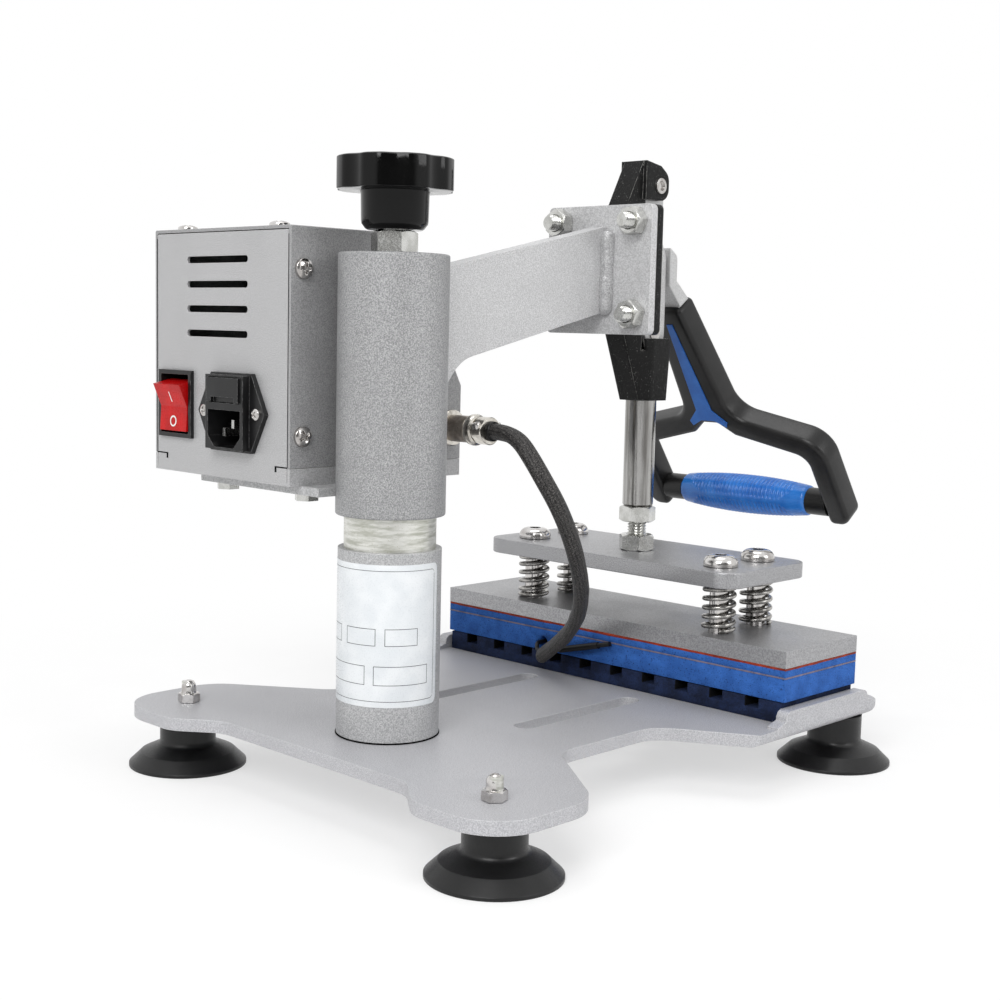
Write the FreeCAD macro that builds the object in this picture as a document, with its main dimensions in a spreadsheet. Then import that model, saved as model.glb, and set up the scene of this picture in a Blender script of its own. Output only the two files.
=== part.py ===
import FreeCAD, Part
import math
import os
import re
import Sketcher
from FreeCAD import Placement, Rotation, Vector

# A swing-away pen press. The column stands on the local Z axis: pieces are modelled round that axis and
# each finished piece is then moved by column_x and column_y, so that the origin is under the middle of
# the whole press. Reaches are measured from the column towards the front (-Y), levels from the table.
# Millimetres and degrees.
SIZES = {
    # rubber feet
    "foot_spread": 106, "rear_foot_back": 36.6, "front_foot_reach": 212.3,
    "cup_radius": 28.4, "cup_stem_radius": 13.5, "cup_height": 24.8, "cup_shoulder": 11,
    "cup_hollow": 6, "cup_lip": 1.4, "stud_radius": 3, "stud_seat": 12, "stud_gap": 0.05,
    "acorn_flats": 10, "acorn_hex_height": 5.5, "acorn_height": 12, "acorn_skin": 2,
    # base plate
    "plate_thickness": 6, "plate_rear_back": 46, "ear_back": 62, "ear_half_width": 131,
    "ear_root": 64, "ear_start": 84, "ear_front": 6, "waist_half_width": 76, "waist_rear_reach": 34,
    "waist_front_reach": 100, "lip_outer": 120, "lip_rear_reach": 139.6, "lip_front_reach": 226.6,
    "lip_height": 13.7, "lip_step": 7, "lip_corner": 4, "plate_front_reach": 238, "front_corner": 14,
    "ear_corner": 24, "waist_corner": 18, "slot_spread": 35, "slot_width": 11, "slot_rear_reach": 56,
    "slot_front_reach": 132,
    # column
    "tube_radius": 23.65, "tube_height": 86, "shaft_radius": 21, "shaft_bore": 16, "shaft_top": 228,
    "shaft_cap": 10, "slide_gap": 0.08, "sleeve_radius": 25, "sleeve_bottom": 131.8,
    "sleeve_top": 248.5, "sleeve_cap": 12, "edge_break": 1,
    # pressure screw and knob
    "spindle_radius": 6, "thread_gap": 0.08, "tip_gap": 0.3, "jam_flats": 18.6, "jam_height": 10,
    "knob_neck_radius": 15, "knob_neck_height": 17, "knob_radius": 26.6, "knob_disc_height": 15.5,
    "knob_skirt": 3.5, "knob_lobes": 8, "lobe_radius": 14, "lobe_bite": 1.8, "knob_gap": 0.4,
    "knob_socket": 20,
    # arm and mounting plate
    "arm_thickness": 10, "arm_top_level": 243, "arm_root_level": 183, "arm_knee_reach": 38,
    "arm_knee_level": 201.5, "arm_end_top": 268.9, "arm_end_bottom": 226, "arm_knee_round": 22,
    "mount_set": 38.5, "mount_thickness": 4.2, "mount_half_width": 34.3, "mount_bottom": 214.8,
    "mount_top": 279.5, "mount_corner": 3, "bolt_spread": 24.5, "bolt_low": 225, "bolt_high": 271,
    "bolt_radius": 4, "bolt_gap": 0.2, "bolt_head_radius": 7, "bolt_head_height": 4.4,
    "bolt_length": 17.2, "washer_radius": 8, "washer_thickness": 1, "nut_flats": 13,
    "nut_height": 5.8,
    # toggle frame and linkage
    "plunger_reach": 177.5, "toggle_top": 292, "toggle_arm": 38, "toggle_pin_radius": 4,
    "pin_gap": 0.08, "press_gap": 0.03, "pin_proud": 0.6, "flange_thickness": 4.7,
    "ear_inner": 4.5, "ear_outer": 8.5, "ear_tip": 6.7, "ear_low": 7.6, "ear_high": 5.6,
    "ear_tip_round": 6.4, "web_half_width": 6.3,
    "web_set": 17.5, "ear_web_set": 9.5, "ear_web_drop": 10, "web_top": 304.2,
    "web_top_set": 12, "web_root_set": 25, "guide_bottom": 180.3, "guide_half_width": 10.2,
    "guide_top_half_width": 12, "guide_shoulder": 213, "guide_root": 222, "guide_corner": 3, "guide_waist": 5,
    "guide_rear": 10.2, "guide_front": 10.2, "guide_top_front": 11, "channel_half_width": 9.6,
    "channel_floor": 206.5, "channel_rear_set": 12.5,
    "link_thickness": 3, "link_half_width": 8, "link_side_gap": 0.3,
    "lever_half_thickness": 4.2, "lever_eye": 7.8, "lever_block_half_width": 9,
    "lever_block_set": 9.5, "lever_block_top": 260.5, "lever_nose_set": 15.5,
    "lever_nose_level": 256.5, "lever_chin_level": 243.6, "lever_heel_level": 241,
    # handle: its own plane leans forward, with its rear face through handle_reach at handle_level
    "handle_set": 51.5, "handle_level": 180, "handle_tilt": 35.9, "handle_depth": 15,
    "stem_top": 59, "stem_top_half": 9.5, "stem_foot_half": 15.3, "stem_foot_drop": 13,
    "shoulder_half": 69.4, "shoulder_drop": 27.6, "leg_width": 13, "leg_drop": 93,
    "inner_drop": 37.9, "arch_half": 14, "arch_drop": 25.8, "crown_half": 5, "crown_drop": 18,
    "shoulder_round": 16, "leg_round": 9, "inner_round": 8, "stem_round": 15, "handle_edge": 2,
    "tongue_length": 30, "tongue_half_width": 8, "tongue_thickness": 8, "tongue_gap": 0.1,
    "inlay_depth": 1, "inlay_proud": 0.5, "inlay_top": 50, "inlay_top_half": 1.8,
    "inlay_neck_half": 5.3, "inlay_neck_drop": 8, "inlay_tip_half": 12.8, "inlay_tip_drop": 16,
    "inlay_heel_half": 11.5, "inlay_heel_drop": 19.3, "inlay_crown_half": 4.5,
    "inlay_crown_drop": 15.2, "handle_screw_radius": 2.5, "handle_screw_head": 4.2,
    "handle_screw_head_height": 3, "handle_screw_upper": 51, "handle_screw_lower": 37,
    "grip_drop": 75, "grip_half_length": 43.3, "grip_end_radius": 8.4, "grip_bulge": 2.9,
    "grip_rod_radius": 5, "grip_rod_depth": 7.5, "collar_radius": 7.6,
    # plunger and spring plate
    "rod_radius": 8.2, "rod_bottom": 123.6, "rod_gap": 0.08, "rod_neck": 0.9, "rod_socket": 30,
    "height_stud_radius": 5, "stud_nut_flats": 17, "stud_nut_height": 8.4, "stud_thread": 7.5,
    "spring_plate_bottom": 91.8, "spring_plate_thickness": 8, "spring_plate_half": 84,
    "spring_plate_depth": 71, "spring_plate_corner": 12, "screw_spread": 64, "screw_pitch": 32.3,
    "platen_set": 4.95, "guide_screw_radius": 5, "guide_screw_gap": 0.4,
    "guide_head_radius": 8.75, "guide_head_height": 5.5, "guide_head_gap": 0.3,
    "hex_socket_flats": 6, "hex_socket_depth": 3, "guide_screw_bite": 6.5,
    "spring_radius": 7.6, "spring_wire": 1.1, "spring_turns": 5.5, "spring_seat_gap": 0.2,
    # platen sandwich and lower pad
    "platen_length": 231, "platen_width": 63.3, "press_plate_bottom": 58, "press_plate_thickness": 8.2,
    "heater_mat": 1.1, "backing_foam": 3.4, "glue_sheet": 0.8, "pad_gap": 0.3,
    "lower_pad_height": 10.2, "lower_pad_width": 63.3, "lower_pad_end_gap": 0.5, "groove_width": 7.5,
    "groove_depth": 5, "groove_pitch": 21.5, "lead_hole_x": 42.8, "lead_hole_level": 45.8,
    "lead_radius": 1.2, "lead_hole_depth": 8, "probe_radius": 1.8, "probe_tip_radius": 1.3,
    "probe_length": 28, "probe_tip_length": 8, "probe_level": 51, "probe_tilt": 14,
    # control box
    "box_left": 28, "box_width": 106.4, "box_back": 36, "box_front_reach": 70.4,
    "box_bottom": 143.6, "box_height": 116.4, "box_knee": 44.4, "box_top_reach": 31,
    "sheet_thickness": 1.5, "sheet_gap": 0.45, "tab_depth": 13, "sill_height": 8,
    "vent_middle": 83.6, "vent_length": 48, "vent_height": 3.2, "vent_low": 211, "vent_pitch": 11.5,
    "cover_screw_radius": 2, "cover_screw_head": 4.8, "cover_screw_head_height": 2.6,
    "cover_screw_length": 6, "side_screw_back": 29, "side_screw_low": 166, "side_screw_high": 241,
    "top_screw_spread": 36,
    "bracket_thickness": 4, "bracket_start": 16, "bracket_end": 108, "bracket_back": 29,
    "bracket_reach": 32, "bracket_bolt_near": 38, "bracket_bolt_far": 99, "bracket_bolt_offset": 18,
    "bracket_bolt_radius": 3, "bracket_head_flats": 10, "bracket_head_height": 4,
    # rocker switch
    "rocker_x": 115.5, "rocker_level": 176.7, "bezel_width": 27, "bezel_height": 32.5,
    "bezel_proud": 2, "bezel_rim": 2, "switch_depth": 20, "switch_skin": 1.2, "rocker_gap": 0.5,
    "rocker_pivot_back": 30, "rocker_tip": 11, "rocker_waist": 8.3, "rocker_tilt": 10,
    "rocker_tip_half": 11.4, "rocker_root_half": 12, "rocker_pin_radius": 1, "rocker_pin_bite": 2,
    # mains inlet with its fuse drawer
    "inlet_x": 69, "inlet_level": 175, "inlet_half_width": 25.6, "inlet_shoulder_half": 15.5,
    "inlet_half_height": 18.3, "flange_proud": 2.6, "inlet_proud": 6.4, "inlet_depth": 26,
    "mouth_width": 25, "mouth_height": 17.4, "mouth_drop": 7.6, "mouth_chamfer": 5,
    "mouth_depth": 19, "blade_width": 2, "blade_height": 4, "blade_spread": 7, "blade_lift": 3,
    "blade_back": 37.2, "inlet_screw_spread": 20, "inlet_screw_radius": 1.5, "inlet_screw_head": 2.9,
    "inlet_screw_head_height": 1.8, "drawer_width": 24, "drawer_height": 11.4, "drawer_lift": 10.4,
    "drawer_depth": 24, "drawer_gap": 0.3, "drawer_proud": 1, "drawer_lip": 2.4,
    # front panel and boards
    "overlay_width": 92, "overlay_height": 66, "overlay_thickness": 0.6, "overlay_middle": 41,
    "window_width": 52, "window_height": 24, "window_thickness": 1.2, "window_lift": 52,
    "button_radius": 5, "button_gap": 0.4, "button_pitch": 24, "button_lift": 20,
    "button_proud": 2.2, "button_length": 6, "board_width": 80, "board_height": 60,
    "board_thickness": 1.6, "board_stand": 10, "stand_radius": 3, "power_board_width": 84,
    "power_board_depth": 62, "power_board_stand": 7, "transformer_size": 28,
    # cable socket and cable
    "socket_reach": 61, "socket_level": 167.5, "socket_nut_radius": 8, "socket_nut_height": 2.5,
    "socket_thread_radius": 6, "socket_inside": 10, "plug_barrel_radius": 6.2,
    "plug_barrel_length": 14, "plug_ring_radius": 7.5, "plug_ring_length": 10.5,
    "plug_tail_radius": 5.6, "plug_tail_length": 5, "cable_radius": 4, "cable_run": 89.8,
}

# Sizes that follow from the ones above.
DERIVED = {
    # reaches that keep their places round the plunger
    "mount_reach": "plunger_reach - mount_set", "web_reach": "plunger_reach - web_set",
    "ear_web_reach": "plunger_reach - ear_web_set", "web_top_reach": "plunger_reach - web_top_set",
    "web_root_reach": "plunger_reach - web_root_set",
    "channel_rear_reach": "plunger_reach - channel_rear_set",
    "lever_block_rear": "plunger_reach + lever_block_set",
    "lever_nose_reach": "plunger_reach + lever_nose_set", "handle_reach": "plunger_reach + handle_set",
    "platen_reach": "plunger_reach + platen_set",
    "rear_most": "ear_back + 3.2", "front_most": "-plate_front_reach",
    "plate_top": "cup_height + plate_thickness",
    "lip_top": "plate_top + lip_height - plate_thickness",
    "flange_reach": "mount_reach + mount_thickness",
    "flange_front": "flange_reach + flange_thickness",
    "pivot_level": "toggle_top - toggle_arm", "plunger_level": "toggle_top - 2*toggle_arm",
    "pin_half_length": "ear_outer + pin_proud",
    "link_inner": "lever_half_thickness + link_side_gap",
    "link_outer": "link_inner + link_thickness",
    "rod_top": "plunger_level - link_half_width - rod_neck",
    "leg_inner": "shoulder_half - leg_width",
    "spring_plate_top": "spring_plate_bottom + spring_plate_thickness",
    "press_plate_top": "press_plate_bottom + press_plate_thickness",
    "mat_bottom": "press_plate_bottom - heater_mat", "foam_bottom": "mat_bottom - backing_foam",
    "sheet_bottom": "foam_bottom - glue_sheet",
    "lower_pad_top": "plate_top + lower_pad_height", "upper_pad_bottom": "lower_pad_top + pad_gap",
    "platen_back": "-platen_reach + platen_width/2",
    "box_right": "box_left + box_width", "box_middle": "box_left + box_width/2",
    "box_top": "box_bottom + box_height", "knee_level": "box_bottom + box_knee",
    "inner_left": "box_left + sheet_thickness + sheet_gap",
    "inner_width": "box_width - 2*sheet_thickness - 2*sheet_gap",
    "inner_top": "box_top - sheet_thickness - sheet_gap",
    "panel_run": "box_front_reach - box_top_reach", "panel_rise": "box_height - box_knee",
    "panel_tilt": "atan(panel_run / panel_rise)",
    "sill_level": "box_bottom + sill_height",
    "knob_level": "sleeve_top + jam_height + knob_gap",
    "inlet_front": "box_back + inlet_proud",
    "box_reach_right": "box_right + cover_screw_head_height",
    "cup_reach_left": "ear_half_width + 3.4",
    "column_x": "(foot_spread + cup_radius - box_reach_right)/2",
    "handle_front": "handle_reach + handle_depth*cos(handle_tilt) + leg_drop*sin(handle_tilt) - 0.4",
    "column_y": "(handle_front - rear_foot_back - cup_radius)/2",
}

WORD = re.compile(r"[a-z_][a-z0-9_]*")
DOC = FreeCAD.newDocument("PenPress")
SHEET = DOC.addObject("Spreadsheet::Sheet", "Sizes")
NODES = []


def fill_sheet():
    """Put each driving size in the sheet, with its name as the alias of its cell."""
    for row, (alias, size) in enumerate(SIZES.items(), start=1):
        SHEET.set("A%d" % row, alias)
        SHEET.set("B%d" % row, str(size))
        SHEET.setAlias("B%d" % row, alias)
    DOC.recompute()


def full(text):
    """Spell an expression out over the sheet's cells."""
    def spell(match):
        word = match.group()
        if word in DERIVED:
            return "(" + full(DERIVED[word]) + ")"
        return "Sizes." + word if word in SIZES else word
    return WORD.sub(spell, text)


def value(text):
    """The number that an expression over the sheet has now."""
    return float(SHEET.evalExpression(full(text)))


def bind(thing, path, text):
    """Tie a property to the sheet."""
    thing.setExpression(path, full(text))


# ---------------------------------------------------------------- sketches and features

def new_body(name):
    return DOC.addObject("PartDesign::Body", name)


def new_sketch(body, role, level="0", tilt=None):
    """A sketch on an origin plane, moved along its normal, and leaned back by tilt where given."""
    sketch = body.newObject("Sketcher::SketchObject", body.Name + "_sketch")
    support = [item for item in body.Origin.OriginFeatures if item.Role == role + "_Plane"]
    sketch.AttachmentSupport = [(support[0], "")]
    sketch.MapMode = "FlatFace"
    bind(sketch, "AttachmentOffset.Base.z", level)
    if tilt:
        sketch.AttachmentOffset = Placement(Vector(), Rotation(Vector(1, 0, 0), -1))
        bind(sketch, "AttachmentOffset.Rotation.Angle", "-(" + tilt + ")")
    return sketch


def pin(sketch, geometry, position, across, up):
    """Fix a point of the sketch at two expressions."""
    for kind, text in (("DistanceX", across), ("DistanceY", up)):
        rule = Sketcher.Constraint(kind, -1, 1, geometry, position, value(text))
        number = sketch.addConstraint(rule)
        sketch.setExpression("Constraints[%d]" % number, full(text))


def bowed(start, end, radius):
    """An arc from start to end, bulging to the right of the way for a positive radius."""
    chord = end - start
    side = Vector(chord.y, -chord.x, 0).normalize()
    half = chord.Length / 2
    sag = abs(radius) - math.sqrt(radius * radius - half * half)
    middle = (start + end) * 0.5 + side * math.copysign(sag, radius)
    return Part.Arc(start, middle, end)


def add_outline(sketch, points):
    """A closed outline: each point is (across, up), with a radius where an arc leaves it."""
    spots = [Vector(value(point[0]), value(point[1]), 0) for point in points]
    count = len(points)
    first = sketch.GeometryCount
    for index, point in enumerate(points):
        start = spots[index]
        end = spots[(index + 1) % count]
        if len(point) == 3:
            sketch.addGeometry(bowed(start, end, value(point[2])), False)
        else:
            sketch.addGeometry(Part.LineSegment(start, end), False)
    ends = []
    for index, point in enumerate(points):
        backwards = len(point) == 3 and value(point[2]) < 0
        ends.append((2, 1) if backwards else (1, 2))
    for index in range(count):
        after = (index + 1) % count
        join = Sketcher.Constraint("Coincident", first + index, ends[index][1],
                                   first + after, ends[after][0])
        sketch.addConstraint(join)
    for index, point in enumerate(points):
        pin(sketch, first + index, ends[index][0], point[0], point[1])
        if len(point) == 3:
            size = abs(value(point[2]))
            number = sketch.addConstraint(Sketcher.Constraint("Radius", first + index, size))
            sketch.setExpression("Constraints[%d]" % number, full("abs(" + point[2] + ")"))


def add_circle(sketch, across, up, radius):
    """A full circle in the sketch."""
    centre = Vector(value(across), value(up), 0)
    number = sketch.addGeometry(Part.Circle(centre, Vector(0, 0, 1), value(radius)), False)
    pin(sketch, number, 3, across, up)
    rule = sketch.addConstraint(Sketcher.Constraint("Radius", number, value(radius)))
    sketch.setExpression("Constraints[%d]" % rule, full(radius))


def rectangle(left, right, low, high):
    """The four corners of an upright rectangle."""
    return [(left, low), (right, low), (right, high), (left, high)]


def hexagon(flats, across="0", up="0"):
    """The corners of a hexagon with the given size across its flats."""
    corners = []
    for step in range(6):
        turn = 60 * step + 30
        reach = "(%s)/2/cos(30)" % flats
        corners.append(("%s + %s*cos(%d)" % (across, reach, turn),
                        "%s + %s*sin(%d)" % (up, reach, turn)))
    return corners


def pad(body, sketch, length):
    """Raise the sketch along its normal."""
    feature = body.newObject("PartDesign::Pad", body.Name + "_pad")
    feature.Profile = sketch
    bind(feature, "Length", length)
    return feature


def pocket(body, sketch, length, forward=False):
    """Cut the sketch into the solid, against its normal unless forward, and check that it cuts."""
    DOC.recompute()
    before = body.Shape.Volume
    feature = body.newObject("PartDesign::Pocket", body.Name + "_pocket")
    feature.Profile = sketch
    feature.Reversed = forward
    bind(feature, "Length", length)
    DOC.recompute()
    if body.Shape.Volume > before - 0.01:
        raise ValueError("a pocket of %s cuts nothing" % body.Name)
    return feature


def revolve(body, sketch, axis="V_Axis"):
    """Turn the sketch a full turn about one of its axes."""
    feature = body.newObject("PartDesign::Revolution", body.Name + "_turned")
    feature.Profile = sketch
    feature.ReferenceAxis = (sketch, [axis])
    feature.Angle = 360
    return feature


def soften(body, radius, keep, kind="Fillet"):
    """Round, or bevel, the edges for which keep is true."""
    DOC.recompute()
    tip = body.Tip
    names = ["Edge%d" % number for number, edge in enumerate(tip.Shape.Edges, start=1) if keep(edge)]
    if not names:
        raise ValueError("no edge of %s to soften" % body.Name)
    feature = body.newObject("PartDesign::" + kind, body.Name + "_" + kind.lower())
    feature.Base = (tip, names)
    bind(feature, "Radius" if kind == "Fillet" else "Size", radius)
    return feature


def edge_through(corners, axis):
    """A test for straight edges along an axis whose other two coordinates are one of the corners."""
    others = [index for index in range(3) if index != axis]
    wanted = [(value(first), value(second)) for first, second in corners]

    def keep(edge):
        ends = [vertex.Point for vertex in edge.Vertexes]
        if len(ends) != 2 or abs(ends[0][axis] - ends[1][axis]) < 0.5:
            return False
        for first, second in wanted:
            if all(math.hypot(end[others[0]] - first, end[others[1]] - second) < 0.05 for end in ends):
                return True
        return False
    return keep


def ring_at(level, radius, axis=2):
    """A test for whole circles at a level along an axis, with the given radius."""
    height = value(level)
    size = value(radius)

    def keep(edge):
        circle = isinstance(edge.Curve, Part.Circle) and len(edge.Vertexes) == 1
        return circle and abs(edge.Curve.Center[axis] - height) < 0.01 and abs(edge.Curve.Radius - size) < 0.01
    return keep


def slab(name, role, points, level, thickness, holes=()):
    """A body of even thickness: an outline with round holes, raised along the plane's normal."""
    body = new_body(name)
    sketch = new_sketch(body, role, level)
    add_outline(sketch, points)
    for across, up, radius in holes:
        add_circle(sketch, across, up, radius)
    pad(body, sketch, thickness)
    return body


def add_slab(body, role, points, level, thickness):
    """More material of even thickness on a body."""
    sketch = new_sketch(body, role, level)
    add_outline(sketch, points)
    pad(body, sketch, thickness)


def cut_slab(body, role, points, level, depth):
    """An even cut with a straight-sided outline."""
    sketch = new_sketch(body, role, level)
    add_outline(sketch, points)
    pocket(body, sketch, depth)


def cut_round(body, role, circles, level, depth):
    """Round cuts along the plane's normal."""
    sketch = new_sketch(body, role, level)
    for across, up, radius in circles:
        add_circle(sketch, across, up, radius)
    pocket(body, sketch, depth)


def turned(name, points, axis="V_Axis"):
    """A body turned from a half section in the XZ plane."""
    body = new_body(name)
    sketch = new_sketch(body, "XZ")
    add_outline(sketch, points)
    revolve(body, sketch, axis)
    return body


def disc(name, role, level, length, radius, across="0", up="0", bore=None):
    """A round bar or ring along a plane's normal."""
    body = new_body(name)
    sketch = new_sketch(body, role, level)
    add_circle(sketch, across, up, radius)
    if bore:
        add_circle(sketch, across, up, bore)
    pad(body, sketch, length)
    return body


def add_disc(body, role, level, length, radius, across="0", up="0"):
    """More round material on a body."""
    sketch = new_sketch(body, role, level)
    add_circle(sketch, across, up, radius)
    pad(body, sketch, length)


def place(thing, across="0", back="0", up="0", angle=None, axis=Vector(1, 0, 0)):
    """Move a piece, after turning it about an axis, X by itself, where an angle is given."""
    if angle:
        thing.Placement = Placement(Vector(), Rotation(axis, 1))
        bind(thing, "Placement.Rotation.Angle", angle)
    bind(thing, "Placement.Base.x", across)
    bind(thing, "Placement.Base.y", back)
    bind(thing, "Placement.Base.z", up)
    return thing


def finish(node, thing, across="0", back="0", up="0", angle=None, axis=Vector(1, 0, 0)):
    """Name a finished piece and set it on its place from the column."""
    thing.Label = node
    place(thing, "column_x + " + across, "column_y + " + back, up, angle, axis)
    NODES.append(thing)
    return thing


def together(node, things):
    """Like pieces kept as one group of separate solids."""
    group = DOC.addObject("Part::Compound", node + "_group")
    group.Links = things
    return finish(node, group)


# ---------------------------------------------------------------- feet and base

def feet():
    """Four suction cups with their studs; the rear studs carry acorn nuts."""
    cups = []
    studs = []
    nuts = []
    bore = "stud_radius + stud_gap"
    section = [(bore, "cup_height"), ("cup_stem_radius", "cup_height"),
               ("cup_stem_radius", "cup_shoulder"), ("cup_radius*0.8", "cup_shoulder*0.62"),
               ("cup_radius", "cup_lip"), ("cup_radius", "0"), ("cup_radius - cup_lip*2", "0"),
               ("cup_stem_radius*0.9", "cup_hollow*0.8"), ("0", "cup_hollow"),
               ("0", "stud_seat"), (bore, "stud_seat")]
    corners = [(side + "foot_spread", back, rear) for side in ("", "-")
               for back, rear in (("rear_foot_back", True), ("-front_foot_reach", False))]
    for number, (across, back, rear) in enumerate(corners):
        cup = turned("cup%d" % number, section)
        soften(cup, "2.5", ring_at("cup_shoulder", "cup_stem_radius"))
        cups.append(place(cup, across, back))
        top = "acorn_height + plate_thickness - acorn_skin" if rear else "plate_thickness - 0.5"
        stud = disc("stud%d" % number, "XY", "stud_seat", "cup_height - stud_seat + " + top, "stud_radius")
        studs.append(place(stud, across, back))
        if rear:
            nuts.append(place(acorn_nut("acorn%d" % number), across, back, "plate_top"))
    together("suction_cups", cups)
    together("foot_studs", studs)
    together("acorn_nuts", nuts)


def acorn_nut(name):
    """A domed cap nut: a hexagon, a turned dome on it and a blind hole for the stud."""
    body = slab(name, "XY", hexagon("acorn_flats"), "0", "acorn_hex_height")
    dome = new_sketch(body, "XZ")
    side = "acorn_flats/2 - 0.3"
    add_outline(dome, [("0", "acorn_hex_height - 1"), (side, "acorn_hex_height - 1"),
                       (side, "acorn_height - (%s)" % side, side), ("0", "acorn_height")])
    revolve(body, dome)
    cut_round(body, "XY", [("0", "0", "stud_radius + stud_gap")], "acorn_height - acorn_skin + 0.2",
              "acorn_height - acorn_skin + 0.2")
    return body


def base_plate():
    """The laser-cut base: eared at the rear feet, waisted, with bent-up end lips and two slots."""
    half = [("ear_root", "plate_rear_back"), ("ear_start", "ear_back"),
            ("ear_half_width", "ear_back"), ("ear_half_width", "ear_front"),
            ("waist_half_width", "-waist_rear_reach"), ("waist_half_width", "-waist_front_reach"),
            ("lip_outer", "-(lip_rear_reach - 14)"), ("lip_outer", "-plate_front_reach")]
    mirror = [("-" + across, back) for across, back in reversed(half)]
    body = slab("base", "XY", half + mirror, "cup_height", "plate_thickness")
    for sign in ("", "-"):
        level = "lip_outer - plate_thickness" if sign == "" else "-lip_outer"
        lip = [("-lip_front_reach", "cup_height"), ("-lip_rear_reach", "cup_height"),
               ("-lip_rear_reach", "plate_top + 1"), ("-(lip_rear_reach + lip_step)", "plate_top + 3"),
               ("-(lip_rear_reach + lip_step)", "lip_top"),
               ("-(lip_front_reach - lip_step)", "lip_top"),
               ("-(lip_front_reach - lip_step)", "plate_top + 3"), ("-lip_front_reach", "plate_top + 1")]
        add_slab(body, "YZ", lip, level, "plate_thickness")
    both = ("", "-")
    soften(body, "lip_corner", edge_through(
        [(back, "lip_top") for back in ("-(lip_rear_reach + lip_step)", "-(lip_front_reach - lip_step)")], 0))
    soften(body, "ear_corner", edge_through(
        [(sign + "ear_half_width", back) for sign in both for back in ("ear_back", "ear_front")], 2))
    soften(body, "waist_corner", edge_through(
        [(sign + across, back) for sign in both for across, back in
         (("ear_root", "plate_rear_back"), ("ear_start", "ear_back"),
          ("waist_half_width", "-waist_rear_reach"), ("waist_half_width", "-waist_front_reach"))], 2))
    soften(body, "front_corner", edge_through(
        [(sign + "lip_outer", back) for sign in both for back in ("-plate_front_reach",)], 2))
    soften(body, "lip_corner", edge_through([(sign + "lip_outer", "cup_height") for sign in both], 1))
    slots = new_sketch(body, "XY", "plate_top")
    ends = []
    for sign in both:
        middle = sign + "slot_spread"
        add_outline(slots, rectangle(middle + " - slot_width/2", middle + " + slot_width/2",
                                     "-slot_front_reach", "-slot_rear_reach"))
        ends += [(middle, "-slot_front_reach", "slot_width/2"), (middle, "-slot_rear_reach", "slot_width/2")]
    pocket(body, slots, "plate_thickness + 1")
    cut_round(body, "XY", ends, "plate_top", "plate_thickness + 1")
    holes = [(sign + "foot_spread", back, "stud_radius + stud_gap") for sign in both
             for back in ("rear_foot_back", "-front_foot_reach")]
    cut_round(body, "XY", holes, "plate_top", "plate_thickness + 1")
    finish("base_plate", body)


def column():
    """The outer tube stands on the base; the shaft inside it carries the swinging sleeve."""
    bore = "shaft_radius + slide_gap"
    finish("lower_tube", disc("tube", "XY", "plate_top", "tube_height", "tube_radius", bore=bore))
    shaft = turned("shaft", [("shaft_bore", "plate_top"), ("shaft_radius", "plate_top"),
                             ("shaft_radius", "shaft_top"), ("0", "shaft_top"),
                             ("0", "shaft_top - shaft_cap"), ("shaft_bore", "shaft_top - shaft_cap")])
    soften(shaft, "edge_break", ring_at("shaft_top", "shaft_radius"), "Chamfer")
    finish("column_shaft", shaft)
    hole = "spindle_radius + thread_gap"
    cap = "sleeve_top - sleeve_cap"
    sleeve = turned("sleeve", [(bore, "sleeve_bottom"), ("sleeve_radius", "sleeve_bottom"),
                               ("sleeve_radius", "sleeve_top"), (hole, "sleeve_top"),
                               (hole, cap), (bore, cap)])
    soften(sleeve, "edge_break", ring_at("sleeve_top", "sleeve_radius"))
    soften(sleeve, "edge_break", ring_at("sleeve_bottom", "sleeve_radius"))
    finish("swing_sleeve", sleeve)


def lower_pad():
    """The grooved pad between the lips: each groove holds one pen."""
    end = "lip_outer - plate_thickness - lower_pad_end_gap"
    back = "-platen_reach + lower_pad_width/2"
    front = "-platen_reach - lower_pad_width/2"
    body = slab("rest", "XY", rectangle("-(%s)" % end, end, front, back), "plate_top", "lower_pad_height")
    grooves = new_sketch(body, "XY", "lower_pad_top")
    for place_number in range(10):
        middle = "groove_pitch*%s" % (place_number - 4.5)
        add_outline(grooves, rectangle(middle + " - groove_width/2", middle + " + groove_width/2",
                                       front + " - 1", back + " + 1"))
    pocket(body, grooves, "groove_depth")
    finish("lower_pad", body)


# ---------------------------------------------------------------- pressure screw

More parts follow.
